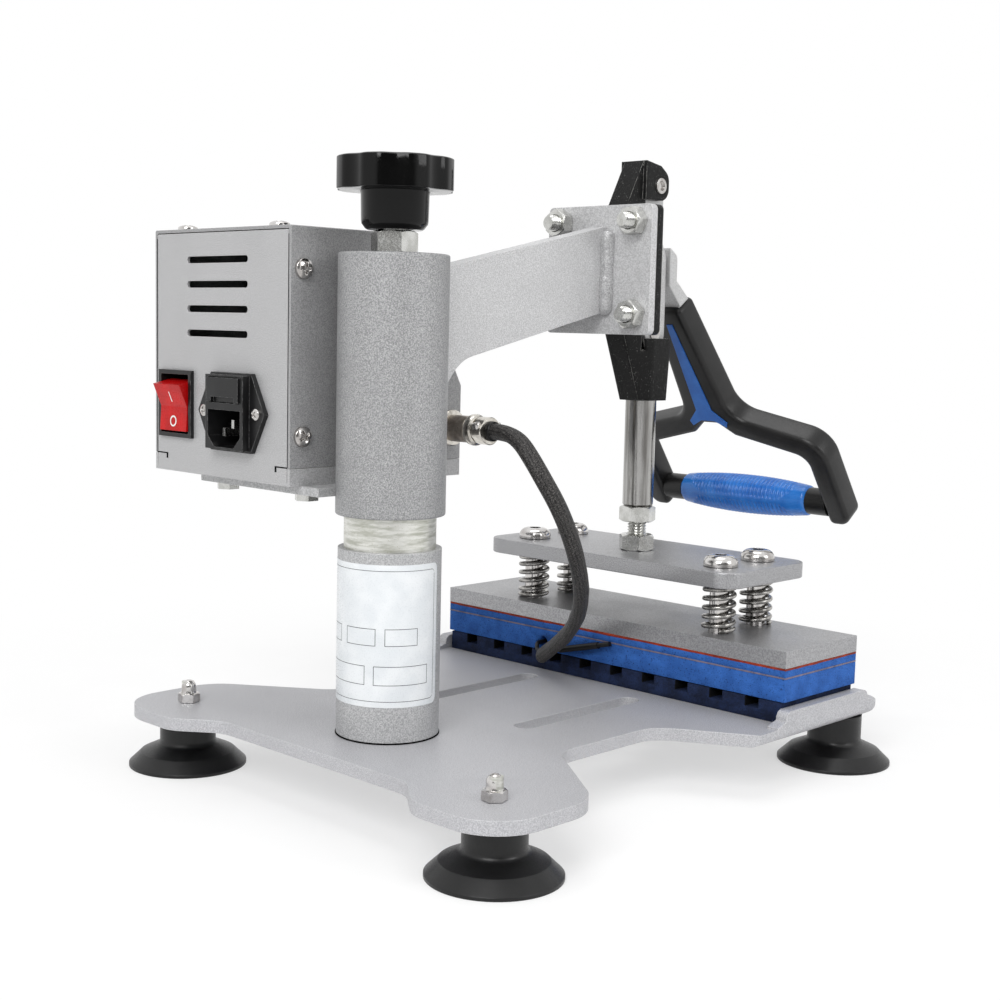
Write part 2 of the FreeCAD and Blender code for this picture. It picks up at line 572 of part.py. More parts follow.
def pressure_screw():
    """The screw bears on the shaft; the jam nut and the lobed knob sit on it."""
    tip = "shaft_top + tip_gap"
    finish("pressure_spindle", disc("spindle", "XY", tip, "knob_level + knob_socket - (%s)" % tip,
                                    "spindle_radius"))
    nut = slab("jam", "XY", hexagon("jam_flats"), "sleeve_top", "jam_height",
               [("0", "0", "spindle_radius + thread_gap")])
    finish("jam_nut", nut)
    top = "knob_neck_height + knob_disc_height"
    knob = turned("knob", [("spindle_radius + thread_gap", "0"), ("knob_neck_radius - 2", "0"),
                           ("knob_neck_radius", "2"), ("knob_neck_radius", "knob_neck_height + knob_skirt"),
                           ("knob_radius - 3", "knob_neck_height + knob_skirt"),
                           ("knob_radius - 3", "knob_neck_height"), ("knob_radius", "knob_neck_height"),
                           ("knob_radius", top + " - 3"), ("knob_radius - 4", top + " - 1"),
                           ("0", top), ("0", "knob_socket + 0.4"),
                           ("spindle_radius + thread_gap", "knob_socket + 0.4")])
    lobes = new_sketch(knob, "XY", top)
    reach = "(knob_radius - lobe_bite + lobe_radius)"
    add_circle(lobes, reach, "0", "lobe_radius")
    bite = pocket(knob, lobes, "knob_disc_height")
    pattern = knob.newObject("PartDesign::PolarPattern", "knob_lobes")
    pattern.Originals = [bite]
    pattern.Axis = (lobes, ["N_Axis"])
    pattern.Angle = 360
    bind(pattern, "Occurrences", "knob_lobes")
    knob.Tip = pattern
    finish("pressure_knob", knob, up="knob_level")


# ---------------------------------------------------------------- arm and toggle frame

def arm():
    """A thick flat arm from the sleeve to the mounting plate, with a curved gusset below."""
    body = slab("arm", "YZ", [("-(sleeve_radius - 2)", "arm_root_level"), ("-arm_knee_reach", "arm_knee_level"),
                              ("-mount_reach", "arm_end_bottom"), ("-mount_reach", "arm_end_top"),
                              ("-(sleeve_radius - 2)", "arm_top_level")], "-arm_thickness/2",
                "arm_thickness")
    soften(body, "arm_knee_round", edge_through([("-arm_knee_reach", "arm_knee_level")], 0))
    cut_round(body, "XY", [("0", "0", "sleeve_radius + press_gap")], "arm_end_top + 5", "arm_end_top")
    finish("swing_arm", body)
    holes = [(sign + "bolt_spread", level, "bolt_radius + bolt_gap")
             for sign in ("", "-") for level in ("bolt_low", "bolt_high")]
    face = rectangle("-mount_half_width", "mount_half_width", "mount_bottom", "mount_top")
    plate = slab("mount", "XZ", face, "mount_reach", "mount_thickness", holes)
    corners = [(sign + "mount_half_width", level) for sign in ("", "-")
               for level in ("mount_bottom", "mount_top")]
    soften(plate, "mount_corner", edge_through(corners, 1))
    finish("mounting_plate", plate)
    toggle_frame(face, holes, corners)
    mounting_bolts()


def toggle_frame(face, holes, corners):
    """The cast frame: flange, rib, two pivot ears and the plunger's guide with its open channel."""
    body = slab("frame", "XZ", face, "flange_reach", "flange_thickness", holes)
    soften(body, "mount_corner", edge_through(corners, 1))
    rib = [("-(flange_reach + 1)", "mount_bottom + 2"), ("-(flange_reach + 1)", "mount_top"),
           ("-web_root_reach", "mount_top"), ("-web_top_reach", "web_top"), ("-ear_web_reach", "web_top"),
           ("-ear_web_reach", "toggle_top - ear_web_drop"), ("-web_reach", "toggle_top - ear_web_drop*3"),
           ("-web_reach", "mount_bottom + 2")]
    add_slab(body, "YZ", rib, "-web_half_width", "web_half_width*2")
    low = "toggle_top - ear_low"
    high = "toggle_top + ear_high"
    tip = "-(plunger_reach + ear_tip)"
    ear = [("-web_top_reach", low), (tip, low), (tip, high), ("-plunger_reach", "web_top - 2"),
           ("-web_top_reach", "web_top")]
    for start in ("ear_inner", "-ear_outer"):
        add_slab(body, "YZ", ear, start, "ear_outer - ear_inner")
    soften(body, "ear_tip_round", edge_through([(tip, low), (tip, high)], 0))
    guide = body.newObject("PartDesign::AdditiveLoft", "frame_guide")
    foot = new_sketch(body, "XY", "guide_bottom")
    add_outline(foot, boss("guide_half_width", "guide_front", "-(plunger_reach - guide_rear)"))
    head = new_sketch(body, "XY", "guide_root")
    add_outline(head, boss("guide_top_half_width", "guide_top_front", "-(web_root_reach - 1.5)"))
    guide.Profile = foot
    guide.Sections = [head]
    guide.Ruled = True
    cut_slab(body, "YZ", [("-(plunger_reach + 30)", "guide_shoulder"), ("-channel_rear_reach", "guide_shoulder"),
                          ("-channel_rear_reach", "guide_root + 1"), ("-(plunger_reach + 30)", "guide_root + 1")],
             "guide_top_half_width + 2", "2*guide_top_half_width + 4")
    soften(body, "guide_corner", slanted_corner)
    cut_slab(body, "XY", rectangle("-channel_half_width", "channel_half_width", "-(plunger_reach + 30)",
                                   "-channel_rear_reach"), "guide_shoulder + 1",
             "guide_shoulder + 1 - channel_floor")
    cut_round(body, "XY", [("0", "-plunger_reach", "rod_radius + rod_gap")], "guide_shoulder", "guide_shoulder")
    cut_round(body, "YZ", [("-plunger_reach", "toggle_top", "toggle_pin_radius + press_gap")],
              "ear_outer + 1", "2*ear_outer + 2")
    finish("toggle_frame", body)
    frame_pin = disc("frame_pin_bar", "YZ", "-pin_half_length", "2*pin_half_length", "toggle_pin_radius",
                     "-plunger_reach", "toggle_top")
    for level, depth in (("pin_half_length", "1.2"), ("-pin_half_length + 1.2", "1.2")):
        cut_round(frame_pin, "YZ", [("-plunger_reach", "toggle_top", "toggle_pin_radius - 1.4")], level, depth)
    finish("frame_pin", frame_pin)


def boss(half, front, rear):
    """The guide's section: as wide as the rib at the rear, wider round the plunger."""
    waist = "-(plunger_reach - guide_waist)"
    tip = "-(plunger_reach + %s)" % front
    return [("-" + half, tip), (half, tip), (half, waist), ("web_half_width", rear),
            ("-web_half_width", rear), ("-" + half, waist)]


def slanted_corner(edge):
    """The guide's four leaning corner edges."""
    ends = [vertex.Point for vertex in edge.Vertexes]
    if len(ends) != 2:
        return False
    low, high = sorted(ends, key=lambda end: end.z)
    if low.z > value("guide_bottom") + 0.1 or high.z < value("guide_bottom") + 10:
        return False
    return abs(abs(low.x) - value("guide_half_width")) < 0.1


def mounting_bolts():
    """Four bolts join the arm's plate and the frame's flange, with washers and nuts at the rear."""
    bolts = []
    nuts = []
    for side in ("", "-"):
        for level in ("bolt_low", "bolt_high"):
            number = len(bolts)
            across = side + "bolt_spread"
            bolt = disc("bolt%d" % number, "XZ", "flange_front - bolt_length", "bolt_length + 0.01",
                        "bolt_radius", across, level)
            add_disc(bolt, "XZ", "flange_front", "bolt_head_height", "bolt_head_radius", across, level)
            soften(bolt, "bolt_head_height - 1.2", ring_at("-(flange_front + bolt_head_height)",
                                                          "bolt_head_radius", 1))
            bolts.append(bolt)
            hole = "bolt_radius + bolt_gap"
            nuts.append(disc("washer%d" % number, "XZ", "mount_reach - washer_thickness",
                             "washer_thickness", "washer_radius", across, level, hole))
            nuts.append(slab("bolt_nut%d" % number, "XZ", hexagon("nut_flats", across, level),
                             "mount_reach - washer_thickness - nut_height", "nut_height",
                             [(across, level, "bolt_radius + thread_gap")]))
    together("mounting_bolts", bolts)
    together("mounting_nuts", nuts)


# ---------------------------------------------------------------- lever, links and plunger

def leaning(across_depth, along):
    """A point of the handle's plane, as reach and level: depth is positive to the rear, along is up."""
    back = "(-handle_reach + (%s)*cos(handle_tilt) + (%s)*sin(handle_tilt))" % (across_depth, along)
    level = "(handle_level - (%s)*sin(handle_tilt) + (%s)*cos(handle_tilt))" % (across_depth, along)
    return back, level


def lever():
    """The forged lever: an eye on the frame pin, an eye for the links and a tongue for the handle."""
    middle = "-handle_depth/2"
    rear = middle + " + tongue_thickness/2"
    front = middle + " - tongue_thickness/2"
    outline = [("-(plunger_reach + lever_eye)", "toggle_top + lever_eye"),
               ("-(plunger_reach - lever_eye)", "toggle_top + lever_eye"),
               ("-(plunger_reach - lever_eye)", "pivot_level - lever_eye"),
               ("-lever_block_rear", "lever_heel_level"), leaning(rear, "stem_top + 0.2"),
               leaning(front, "stem_top + 0.2"), ("-lever_nose_reach", "lever_chin_level"),
               ("-lever_nose_reach", "lever_nose_level"), ("-lever_block_rear", "lever_block_top"),
               ("-(plunger_reach + lever_eye)", "lever_block_top + 4")]
    body = slab("lever_bar", "YZ", outline, "-lever_half_thickness", "2*lever_half_thickness")
    block = [("-lever_block_rear", "lever_heel_level"), leaning(rear, "stem_top + 0.2"),
             leaning(front, "stem_top + 0.2"), ("-lever_nose_reach", "lever_chin_level"),
             ("-lever_nose_reach", "lever_nose_level"), ("-lever_block_rear", "lever_block_top")]
    add_slab(body, "YZ", block, "-lever_block_half_width", "2*lever_block_half_width")
    tongue = [leaning(rear, "stem_top - tongue_length + tongue_gap"), leaning(rear, "stem_top + 1.5"),
              leaning(front, "stem_top + 1.5"), leaning(front, "stem_top - tongue_length + tongue_gap")]
    add_slab(body, "YZ", tongue, "-tongue_half_width", "2*tongue_half_width")
    soften(body, "lever_eye - 0.2", edge_through(
        [("-(plunger_reach + lever_eye)", "toggle_top + lever_eye"),
         ("-(plunger_reach - lever_eye)", "toggle_top + lever_eye"),
         ("-(plunger_reach - lever_eye)", "pivot_level - lever_eye")], 0))
    soften(body, "4", edge_through([("-lever_nose_reach", "lever_nose_level")], 0))
    bore = "toggle_pin_radius + pin_gap"
    cut_round(body, "YZ", [("-plunger_reach", "toggle_top", bore), ("-plunger_reach", "pivot_level", bore)],
              "lever_half_thickness + 1", "2*lever_half_thickness + 2")
    screws = new_sketch(body, "XZ", "handle_reach", "handle_tilt")
    bind(screws, "AttachmentOffset.Base.y", "handle_level")
    for level in ("handle_screw_upper", "handle_screw_lower"):
        add_circle(screws, "0", level, "handle_screw_radius + 0.1")
    pocket(body, screws, "handle_depth", forward=True)
    finish("lever", body)
    links()


def links():
    """Two flat links on both sides of the lever and the plunger's eye, with their two pins."""
    rear = "-(plunger_reach - link_half_width)"
    front = "-(plunger_reach + link_half_width)"
    low = "plunger_level - link_half_width"
    high = "pivot_level + link_half_width"
    plates = []
    for number, level in enumerate(("link_inner", "-link_outer")):
        plate = slab("link%d" % number, "YZ", rectangle(front, rear, low, high), level, "link_thickness",
                     [("-plunger_reach", "pivot_level", "toggle_pin_radius + press_gap"),
                      ("-plunger_reach", "plunger_level", "toggle_pin_radius + pin_gap")])
        soften(plate, "link_half_width - 0.2", edge_through(
            [(rear, low), (front, low), (rear, high), (front, high)], 0))
        plates.append(plate)
    together("toggle_links", plates)
    for node, level in (("link_pin", "pivot_level"), ("plunger_pin", "plunger_level")):
        finish(node, disc(node + "_bar", "YZ", "-(link_outer + pin_proud)", "2*(link_outer + pin_proud)",
                          "toggle_pin_radius", "-plunger_reach", level))


def plunger():
    """The plunger rod with its flat eye, the height stud in it and the two nuts on the stud."""
    body = disc("plunger", "XY", "rod_bottom", "rod_top - rod_bottom", "rod_radius", "0", "-plunger_reach")
    soften(body, "edge_break", ring_at("rod_bottom", "rod_radius"), "Chamfer")
    eye = rectangle("-(plunger_reach + link_half_width - 0.1)", "-(plunger_reach - link_half_width + 0.1)",
                    "rod_top - 0.2", "plunger_level + link_half_width")
    add_slab(body, "YZ", eye, "-lever_half_thickness", "2*lever_half_thickness")
    soften(body, "link_half_width - 0.4", edge_through(
        [("-(plunger_reach + link_half_width - 0.1)", "plunger_level + link_half_width"),
         ("-(plunger_reach - link_half_width + 0.1)", "plunger_level + link_half_width")], 0))
    cut_round(body, "YZ", [("-plunger_reach", "plunger_level", "toggle_pin_radius + press_gap")],
              "lever_half_thickness + 1", "2*lever_half_thickness + 2")
    hole = "height_stud_radius + thread_gap"
    cut_round(body, "XY", [("0", "-plunger_reach", hole)], "rod_bottom + rod_socket", "rod_socket + 1")
    finish("plunger_rod", body)
    finish("height_stud", disc("height_stud_bar", "XY", "spring_plate_bottom + 0.5",
                               "rod_bottom + rod_socket - spring_plate_bottom - 1.5",
                               "height_stud_radius", "0", "-plunger_reach"))
    nuts = []
    for number, level in enumerate(("spring_plate_top", "rod_bottom - stud_nut_height")):
        nuts.append(slab("stud_nut%d" % number, "XY", hexagon("stud_nut_flats", "0", "-plunger_reach"),
                         level, "stud_nut_height", [("0", "-plunger_reach", hole)]))
    together("stud_nuts", nuts)


# ---------------------------------------------------------------- handle

def handle():
    """The forked handle in its own upright frame, leaned forward when it is placed."""
    half = [("stem_top_half", "stem_top"), ("stem_foot_half", "-stem_foot_drop"),
            ("shoulder_half", "-shoulder_drop"), ("shoulder_half", "-leg_drop"),
            ("leg_inner", "-leg_drop"), ("leg_inner", "-inner_drop"), ("arch_half", "-arch_drop"),
            ("crown_half", "-crown_drop")]
    mirror = [("-" + across, up) for across, up in reversed(half)]
    body = slab("fork", "XZ", half + mirror, "0", "handle_depth")
    both = ("", "-")
    rounds = (("stem_round", "stem_foot_half", "-stem_foot_drop"),
              ("shoulder_round", "shoulder_half", "-shoulder_drop"),
              ("leg_round", "shoulder_half", "-leg_drop"), ("inner_round", "leg_inner", "-inner_drop"))
    for radius, across, up in rounds:
        soften(body, radius, edge_through([(sign + across, up) for sign in both], 1))
    soften(body, "handle_edge", outer_rim)
    socket = "tongue_thickness/2 + tongue_gap"
    side = "tongue_half_width + tongue_gap"
    cut_slab(body, "XY", rectangle("-(%s)" % side, side, "-handle_depth/2 - (%s)" % socket,
                                   "-handle_depth/2 + " + socket), "stem_top", "tongue_length")
    cut_slab(body, "XZ", inlay_outline(), "inlay_depth", "inlay_depth + 1", )
    for level in ("handle_screw_upper", "handle_screw_lower"):
        cut_round(body, "XZ", [("0", level, "handle_screw_head + 0.2")], "handle_depth",
                  "handle_screw_head_height")
        cut_round(body, "XZ", [("0", level, "handle_screw_radius + 0.1")], "handle_depth",
                  "handle_depth - 2")
    cut_round(body, "YZ", [("-handle_depth/2", "-grip_drop", "grip_rod_radius + press_gap")],
              "leg_inner + grip_rod_depth", "2*(leg_inner + grip_rod_depth)")
    finish("handle_fork", body, **LEAN)
    inlay = slab("inlay", "XZ", inlay_outline(), "-inlay_proud", "inlay_depth + inlay_proud")
    finish("handle_inlay", inlay, **LEAN)
    screws = []
    for number, level in enumerate(("handle_screw_upper", "handle_screw_lower")):
        screw = disc("handle_screw%d" % number, "XZ", "3.5", "handle_depth - handle_screw_head_height - 3.5",
                     "handle_screw_radius", "0", level)
        add_disc(screw, "XZ", "handle_depth - handle_screw_head_height", "handle_screw_head_height - 0.3",
                 "handle_screw_head", "0", level)
        screws.append(screw)
    group = together("handle_screws", screws)
    place(group, "column_x", "column_y - handle_reach", "handle_level", "-handle_tilt")
    grip()


LEAN = {"back": "-handle_reach", "up": "handle_level", "angle": "-handle_tilt"}


def outer_rim(edge):
    """The edges of the fork's rear and front faces that run round its outer side."""
    depth = value("handle_depth")
    box = edge.BoundBox
    on_face = box.YLength < 0.01 and (abs(box.YMin) < 0.01 or abs(box.YMin + depth) < 0.01)
    middle = edge.valueAt((edge.FirstParameter + edge.LastParameter) / 2)
    across = abs(middle.x)
    run = value("shoulder_half") - value("stem_foot_half")
    fall = (value("shoulder_drop") - value("stem_foot_drop")) / run
    line = -value("stem_foot_drop") - (across - value("stem_foot_half")) * fall
    outside = middle.z > line - 5 or across > value("shoulder_half") - 3
    return on_face and outside and box.ZMin < value("stem_top") - 0.1


def inlay_outline():
    """The soft inlay: a stripe that widens into an upside-down T over the arch."""
    half = [("inlay_top_half", "inlay_top"), ("inlay_neck_half", "-inlay_neck_drop"),
            ("inlay_tip_half", "-inlay_tip_drop"), ("inlay_heel_half", "-inlay_heel_drop"),
            ("inlay_crown_half", "-inlay_crown_drop")]
    return half + [("-" + across, up) for across, up in reversed(half)]


def grip():
    """A barrel grip and two collars on a rod between the fork's legs."""
    bore = "grip_rod_radius + press_gap"
    bow = "((grip_half_length*grip_half_length + grip_bulge*grip_bulge)/(2*grip_bulge))"
    barrel = turned("barrel", [("-grip_half_length", bore), ("grip_half_length", bore),
                               ("grip_half_length", "grip_end_radius", bow),
                               ("-grip_half_length", "grip_end_radius")], "H_Axis")
    seat = leaning("-handle_depth/2", "-grip_drop")
    finish("handle_grip", barrel, "0", seat[0], seat[1])
    length = "leg_inner - grip_half_length"
    collars = [place(disc("collar%d" % number, "YZ", level, length, "collar_radius", bore=bore), "0", *seat)
               for number, level in enumerate(("grip_half_length", "-leg_inner"))]
    together("grip_collars", collars)
    half = "leg_inner + grip_rod_depth - 0.3"
    rod = disc("grip_bar", "YZ", "-(%s)" % half, "2*(%s)" % half, "grip_rod_radius")
    finish("grip_rod", rod, "0", seat[0], seat[1])


# ---------------------------------------------------------------- spring plate and platen

def spring_corners():
    """The four places of the guide screws."""
    return [(side + "screw_spread", "-platen_reach + %s*screw_pitch" % half)
            for side in ("", "-") for half in ("0.5", "-0.5")]


def spring_plate():
    """The plate that the stud pushes; it presses the platen through four springs."""
    corners = [(side + "spring_plate_half", "-platen_reach + %s*spring_plate_depth" % half)
               for side in ("", "-") for half in ("0.5", "-0.5")]
    holes = [(across, back, "guide_screw_radius + guide_screw_gap") for across, back in spring_corners()]
    holes.append(("0", "-plunger_reach", "height_stud_radius + thread_gap"))
    body = slab("spring_plate_body", "XY",
                rectangle("-spring_plate_half", "spring_plate_half", "-platen_reach - spring_plate_depth/2",
                          "-platen_reach + spring_plate_depth/2"),
                "spring_plate_bottom", "spring_plate_thickness", holes)
    soften(body, "spring_plate_corner", edge_through(corners, 2))
    finish("spring_plate", body)


def guide_screws():
    """Button-head screws in the press plate; the spring plate slides on their shanks."""
    screws = []
    for number, (across, back) in enumerate(spring_corners()):
        low = "press_plate_top - guide_screw_bite"
        seat = "spring_plate_top + guide_head_gap"
        screw = disc("guide_screw%d" % number, "XY", low, "%s - (%s) + 0.01" % (seat, low),
                     "guide_screw_radius")
        add_disc(screw, "XY", seat, "guide_head_height", "guide_head_radius")
        soften(screw, "guide_head_height - 1.2", ring_at(seat + " + guide_head_height", "guide_head_radius"))
        cut_slab(screw, "XY", hexagon("hex_socket_flats"), seat + " + guide_head_height", "hex_socket_depth")
        screws.append(place(screw, across, back))
    together("guide_screws", screws)


def springs():
    """Four compression springs, each a round wire swept along a helix."""
    coils = []
    low = value("press_plate_top + spring_wire + spring_seat_gap")
    high = value("spring_plate_bottom - spring_wire - spring_seat_gap")
    radius = value("spring_radius")
    wire = value("spring_wire")
    for number, (across, back) in enumerate(spring_corners()):
        spine = Part.makeHelix((high - low) / value("spring_turns"), high - low, radius)
        ring = Part.Wire(Part.makeCircle(wire, Vector(radius, 0, 0), Vector(0, 1, 0)))
        coil = DOC.addObject("Part::Feature", "spring%d" % number)
        coil.Shape = Part.Wire(spine.Edges).makePipeShell([ring], True, True)
        coils.append(place(coil, across, back, str(low)))
    together("springs", coils)


def platen():
    """The press plate with the heater mat, the foam and the thick pad under it."""
    layers = (("press_plate", "press_plate_bottom", "press_plate_thickness"),
              ("heater_mat", "mat_bottom", "heater_mat"), ("backing_foam", "foam_bottom", "backing_foam"),
              ("glue_sheet", "sheet_bottom", "glue_sheet"),
              ("upper_pad", "upper_pad_bottom", "sheet_bottom - upper_pad_bottom"))
    for node, level, thickness in layers:
        outline = rectangle("-platen_length/2", "platen_length/2", "-platen_reach - platen_width/2",
                            "-platen_reach + platen_width/2")
        body = slab(node + "_layer", "XY", outline, level, thickness)
        if node == "press_plate":
            holes = [(across, back, "guide_screw_radius + press_gap") for across, back in spring_corners()]
            cut_round(body, "XY", holes, "press_plate_top", "guide_screw_bite + 0.3")
        if node == "upper_pad":
            hole = [("lead_hole_x", "lead_hole_level", "lead_radius + 0.3")]
            cut_round(body, "XZ", hole, "-(%s) + lead_hole_depth" % "platen_back", "lead_hole_depth + 1")
        finish(node, body)


# ---------------------------------------------------------------- cable and leads

CABLE_ROUTE = [(-4.3, -61, 167.5), (-13.4, -61, 167.5), (-23.3, -59.8, 164.3), (-32.4, -58.4, 156.6),
               (-38.7, -60.5, 146.7), (-42.3, -66.5, 135.1), (-42, -75.2, 121.7), (-38.1, -85.8, 107.3),
               (-30.9, -98, 92.6), (-20, -110.5, 78.3), (-4.8, -122.2, 64.7), (13.9, -132.8, 52.2),
               (34, -142.3, 41)]
LEAD_ROUTE = [(35.7, -142.9, 42.6), (40.4, -144.8, 42.8), (42.8, -147.2, 45.8), (42.8, -158, 45.8)]


def rounded_wire(points):
    """Straight runs joined by tangent arcs, each as large as its two runs allow."""
    edges = []
    start = points[0]
    for before, corner, after in zip(points, points[1:], points[2:]):
        into = corner - before
        out = after - corner
        cut = 0.45 * min(into.Length, out.Length)
        turn = into.getAngle(out)
        print("bend radius %.1f" % (cut / math.tan(turn / 2)))
        leave = corner - Vector(into).normalize() * cut
        meet = corner + Vector(out).normalize() * cut
        radius = cut / math.tan(turn / 2)
        inward = (Vector(out).normalize() - Vector(into).normalize()).normalize()
        middle = corner + inward * (radius / math.cos(turn / 2) - radius)
        edges.append(Part.makeLine(start, leave))
        edges.append(Part.Arc(leave, middle, meet).toShape())
        start = meet
    edges.append(Part.makeLine(start, points[-1]))
    return Part.Wire(edges)


def tube_along(node, route, radius):
    """A round cord along a rounded route, whose volume is its section times its length."""
    socket = value("socket_reach")
    stretch = (-value("platen_back") - socket) / value("cable_run")
    points = [Vector(across, -socket + (back + socket) * stretch, up) for across, back, up in route]
    spine = rounded_wire(points)
    ring = Part.Wire(Part.makeCircle(radius, points[0], points[1] - points[0]))
    shape = spine.makePipeShell([ring], True, False)
    wanted = math.pi * radius * radius * spine.Length
    if abs(shape.Volume / wanted - 1) > 0.01:
        raise ValueError("the cord %s has the wrong volume" % node)
    cord = DOC.addObject("Part::Feature", node + "_cord")
    cord.Shape = shape
    finish(node, cord)


def cable():
    """The braided heater cable, the lead into the pad and the shrink-wrapped heat probe."""
    tube_along("heater_cable", CABLE_ROUTE, value("cable_radius"))
    tube_along("heater_lead", LEAD_ROUTE, value("lead_radius"))
    probe = disc("probe_body", "YZ", "0", "probe_length", "probe_radius")
    add_disc(probe, "YZ", "-probe_tip_length", "probe_tip_length + 1", "probe_tip_radius")
    finish("heat_probe", probe, back="platen_back + probe_radius + 0.4", up="probe_level",
           angle="probe_tilt", axis=Vector(0, 1, 0))


# ---------------------------------------------------------------- control box

def control_box():
    """Folded chassis, its cover, their screws and the bracket below."""
    chassis()
    cover()
    together("box_screws", cover_screws() + inlet_screws())
    bracket()
    rocker_switch()
    inlet()
    front_panel()
    cable_socket()


def chassis():
    """One folded sheet: rear wall, floor, front wall and the leaning panel, with tabs and vents."""
    thick = "sheet_thickness"
    skew = "sheet_thickness/cos(panel_tilt)"
    run = "(inner_top - knee_level)*tan(panel_tilt)"
    outline = [("box_back", "box_bottom"), ("box_back", "inner_top"), ("box_back - " + thick, "inner_top"),
               ("box_back - " + thick, "box_bottom + " + thick),
               ("-box_front_reach + " + thick, "box_bottom + " + thick),
               ("-box_front_reach + " + thick, "knee_level"),
               ("-box_front_reach + %s + %s" % (run, skew), "inner_top"),
               ("-box_front_reach + " + run, "inner_top"), ("-box_front_reach", "knee_level"),
               ("-box_front_reach", "box_bottom")]
    body = slab("chassis_body", "YZ", outline, "inner_left", "inner_width")
    inner_right = "inner_left + inner_width"
    for left, right in (("inner_left", "inner_left + " + thick), (inner_right + " - " + thick, inner_right)):
        add_slab(body, "XY", rectangle(left, right, "box_back - tab_depth", "box_back - 0.5"),
                 "box_bottom + 0.5", "inner_top - box_bottom - 0.5")
    add_slab(body, "XY", rectangle("inner_left", inner_right, "box_back - tab_depth", "box_back - 0.5"),
             "inner_top - " + thick, thick)
    for left in ("box_left", "box_right - " + thick):
        add_slab(body, "YZ", rectangle("-box_front_reach", "box_back", "box_bottom", "sill_level"), left,
                 thick)
    floor = rectangle("box_left", "box_right", "-box_front_reach", "box_back")
    add_slab(body, "XY", floor, "box_bottom", thick)
    vents = new_sketch(body, "XZ", "-box_back")
    half = "vent_length/2"
    for row in range(4):
        level = "vent_low + %d*vent_pitch" % row
        add_outline(vents, rectangle("vent_middle - " + half, "vent_middle + " + half,
                                     level + " - vent_height/2", level + " + vent_height/2"))
    pocket(body, vents, thick + " + 0.5", forward=True)
    ends = [("vent_middle %s vent_length/2" % side, "vent_low + %d*vent_pitch %s vent_height/2" % (row, edge))
            for row in range(4) for side in "+-" for edge in "+-"]
    soften(body, "vent_height/2 - 0.1", edge_through(ends, 1))
    wall_cuts(body)
    panel_cuts(body)
    bolts = [(across, back, "bracket_bolt_radius + bolt_gap") for across, back in bracket_spots()]
    cut_round(body, "XY", bolts, "box_bottom + sheet_thickness + 0.5", "sheet_thickness + 1")
    screw_holes(body, "cover_screw_radius + 0.1")
    finish("box_chassis", body)


def wall_cuts(body):
    """The rear wall's windows for the switch and the inlet."""
    cuts = new_sketch(body, "XZ", "-box_back")
    wide = "bezel_width/2 - bezel_rim + switch_skin + 0.2"
    tall = "bezel_height/2 - bezel_rim + switch_skin + 0.2"
    add_outline(cuts, rectangle("rocker_x - (%s)" % wide, "rocker_x + " + wide,
                                "rocker_level - (%s)" % tall, "rocker_level + " + tall))
    add_outline(cuts, rectangle("inlet_x - inlet_shoulder_half + 0.5", "inlet_x + inlet_shoulder_half - 0.5",
                                "inlet_level - inlet_half_height + 0.5", "inlet_level + inlet_half_height - 0.5"))
    for sign in ("-", "+"):
        add_circle(cuts, "inlet_x %s inlet_screw_spread" % sign, "inlet_level", "inlet_screw_radius + 0.1")
    pocket(body, cuts, "sheet_thickness + 0.5", forward=True)


def panel_cuts(body):
    """The leaning panel's window and button holes."""
    sketch = body.newObject("Sketcher::SketchObject", "panel_cuts")
    support = [item for item in body.Origin.OriginFeatures if item.Role == "XY_Plane"]
    sketch.AttachmentSupport = [(support[0], "")]
    sketch.MapMode = "FlatFace"
    sketch.AttachmentOffset = Placement(Vector(), Rotation(Vector(1, 0, 0), 60))
    bind(sketch, "AttachmentOffset.Rotation.Angle", "90 deg - panel_tilt")
    bind(sketch, "AttachmentOffset.Base.y", "-box_front_reach")
    bind(sketch, "AttachmentOffset.Base.z", "knee_level")
    add_outline(sketch, rectangle("box_middle - window_width/2 + 2", "box_middle + window_width/2 - 2",
                                  "window_lift - window_height/2 + 2", "window_lift + window_height/2 - 2"))
    for step in (-1, 0, 1):
        add_circle(sketch, "box_middle + %d*button_pitch" % step, "button_lift", "button_radius + button_gap")
    pocket(body, sketch, "sheet_thickness*3")


def cover():
    """The cover: two side cheeks and the roof, folded from one sheet."""
    thick = "sheet_thickness"
    cheek = [("box_back", "sill_level + 0.2"), ("box_back", "box_top"), ("-box_top_reach", "box_top"),
             ("-box_front_reach", "knee_level"), ("-box_front_reach", "sill_level + 0.2")]
    body = slab("cover_body", "YZ", cheek, "box_left", thick)
    add_slab(body, "YZ", cheek, "box_right - " + thick, thick)
    roof = rectangle("box_left", "box_right", "-box_top_reach", "box_back")
    add_slab(body, "XY", roof, "box_top - " + thick, thick)
    soften(body, "edge_break", edge_through([("box_left", "box_top"), ("box_right", "box_top")], 1))
    cut_round(body, "YZ", [("-socket_reach", "socket_level", "socket_thread_radius + 0.2")],
              "box_left + 3", "4")
    screw_holes(body, "cover_screw_radius + 0.2")
    finish("box_cover", body)


def screw_holes(body, radius):
    """Holes for the side screws and the top screws."""
    sides = [("side_screw_back", level, radius) for level in ("side_screw_low", "side_screw_high")]
    cut_round(body, "YZ", sides, "box_left + 5", "8")
    cut_round(body, "YZ", sides, "box_right + 3", "8")
    tops = [("box_middle %s top_screw_spread" % sign, "side_screw_back", radius) for sign in ("-", "+")]
    cut_round(body, "XY", tops, "box_top + 2", "8")


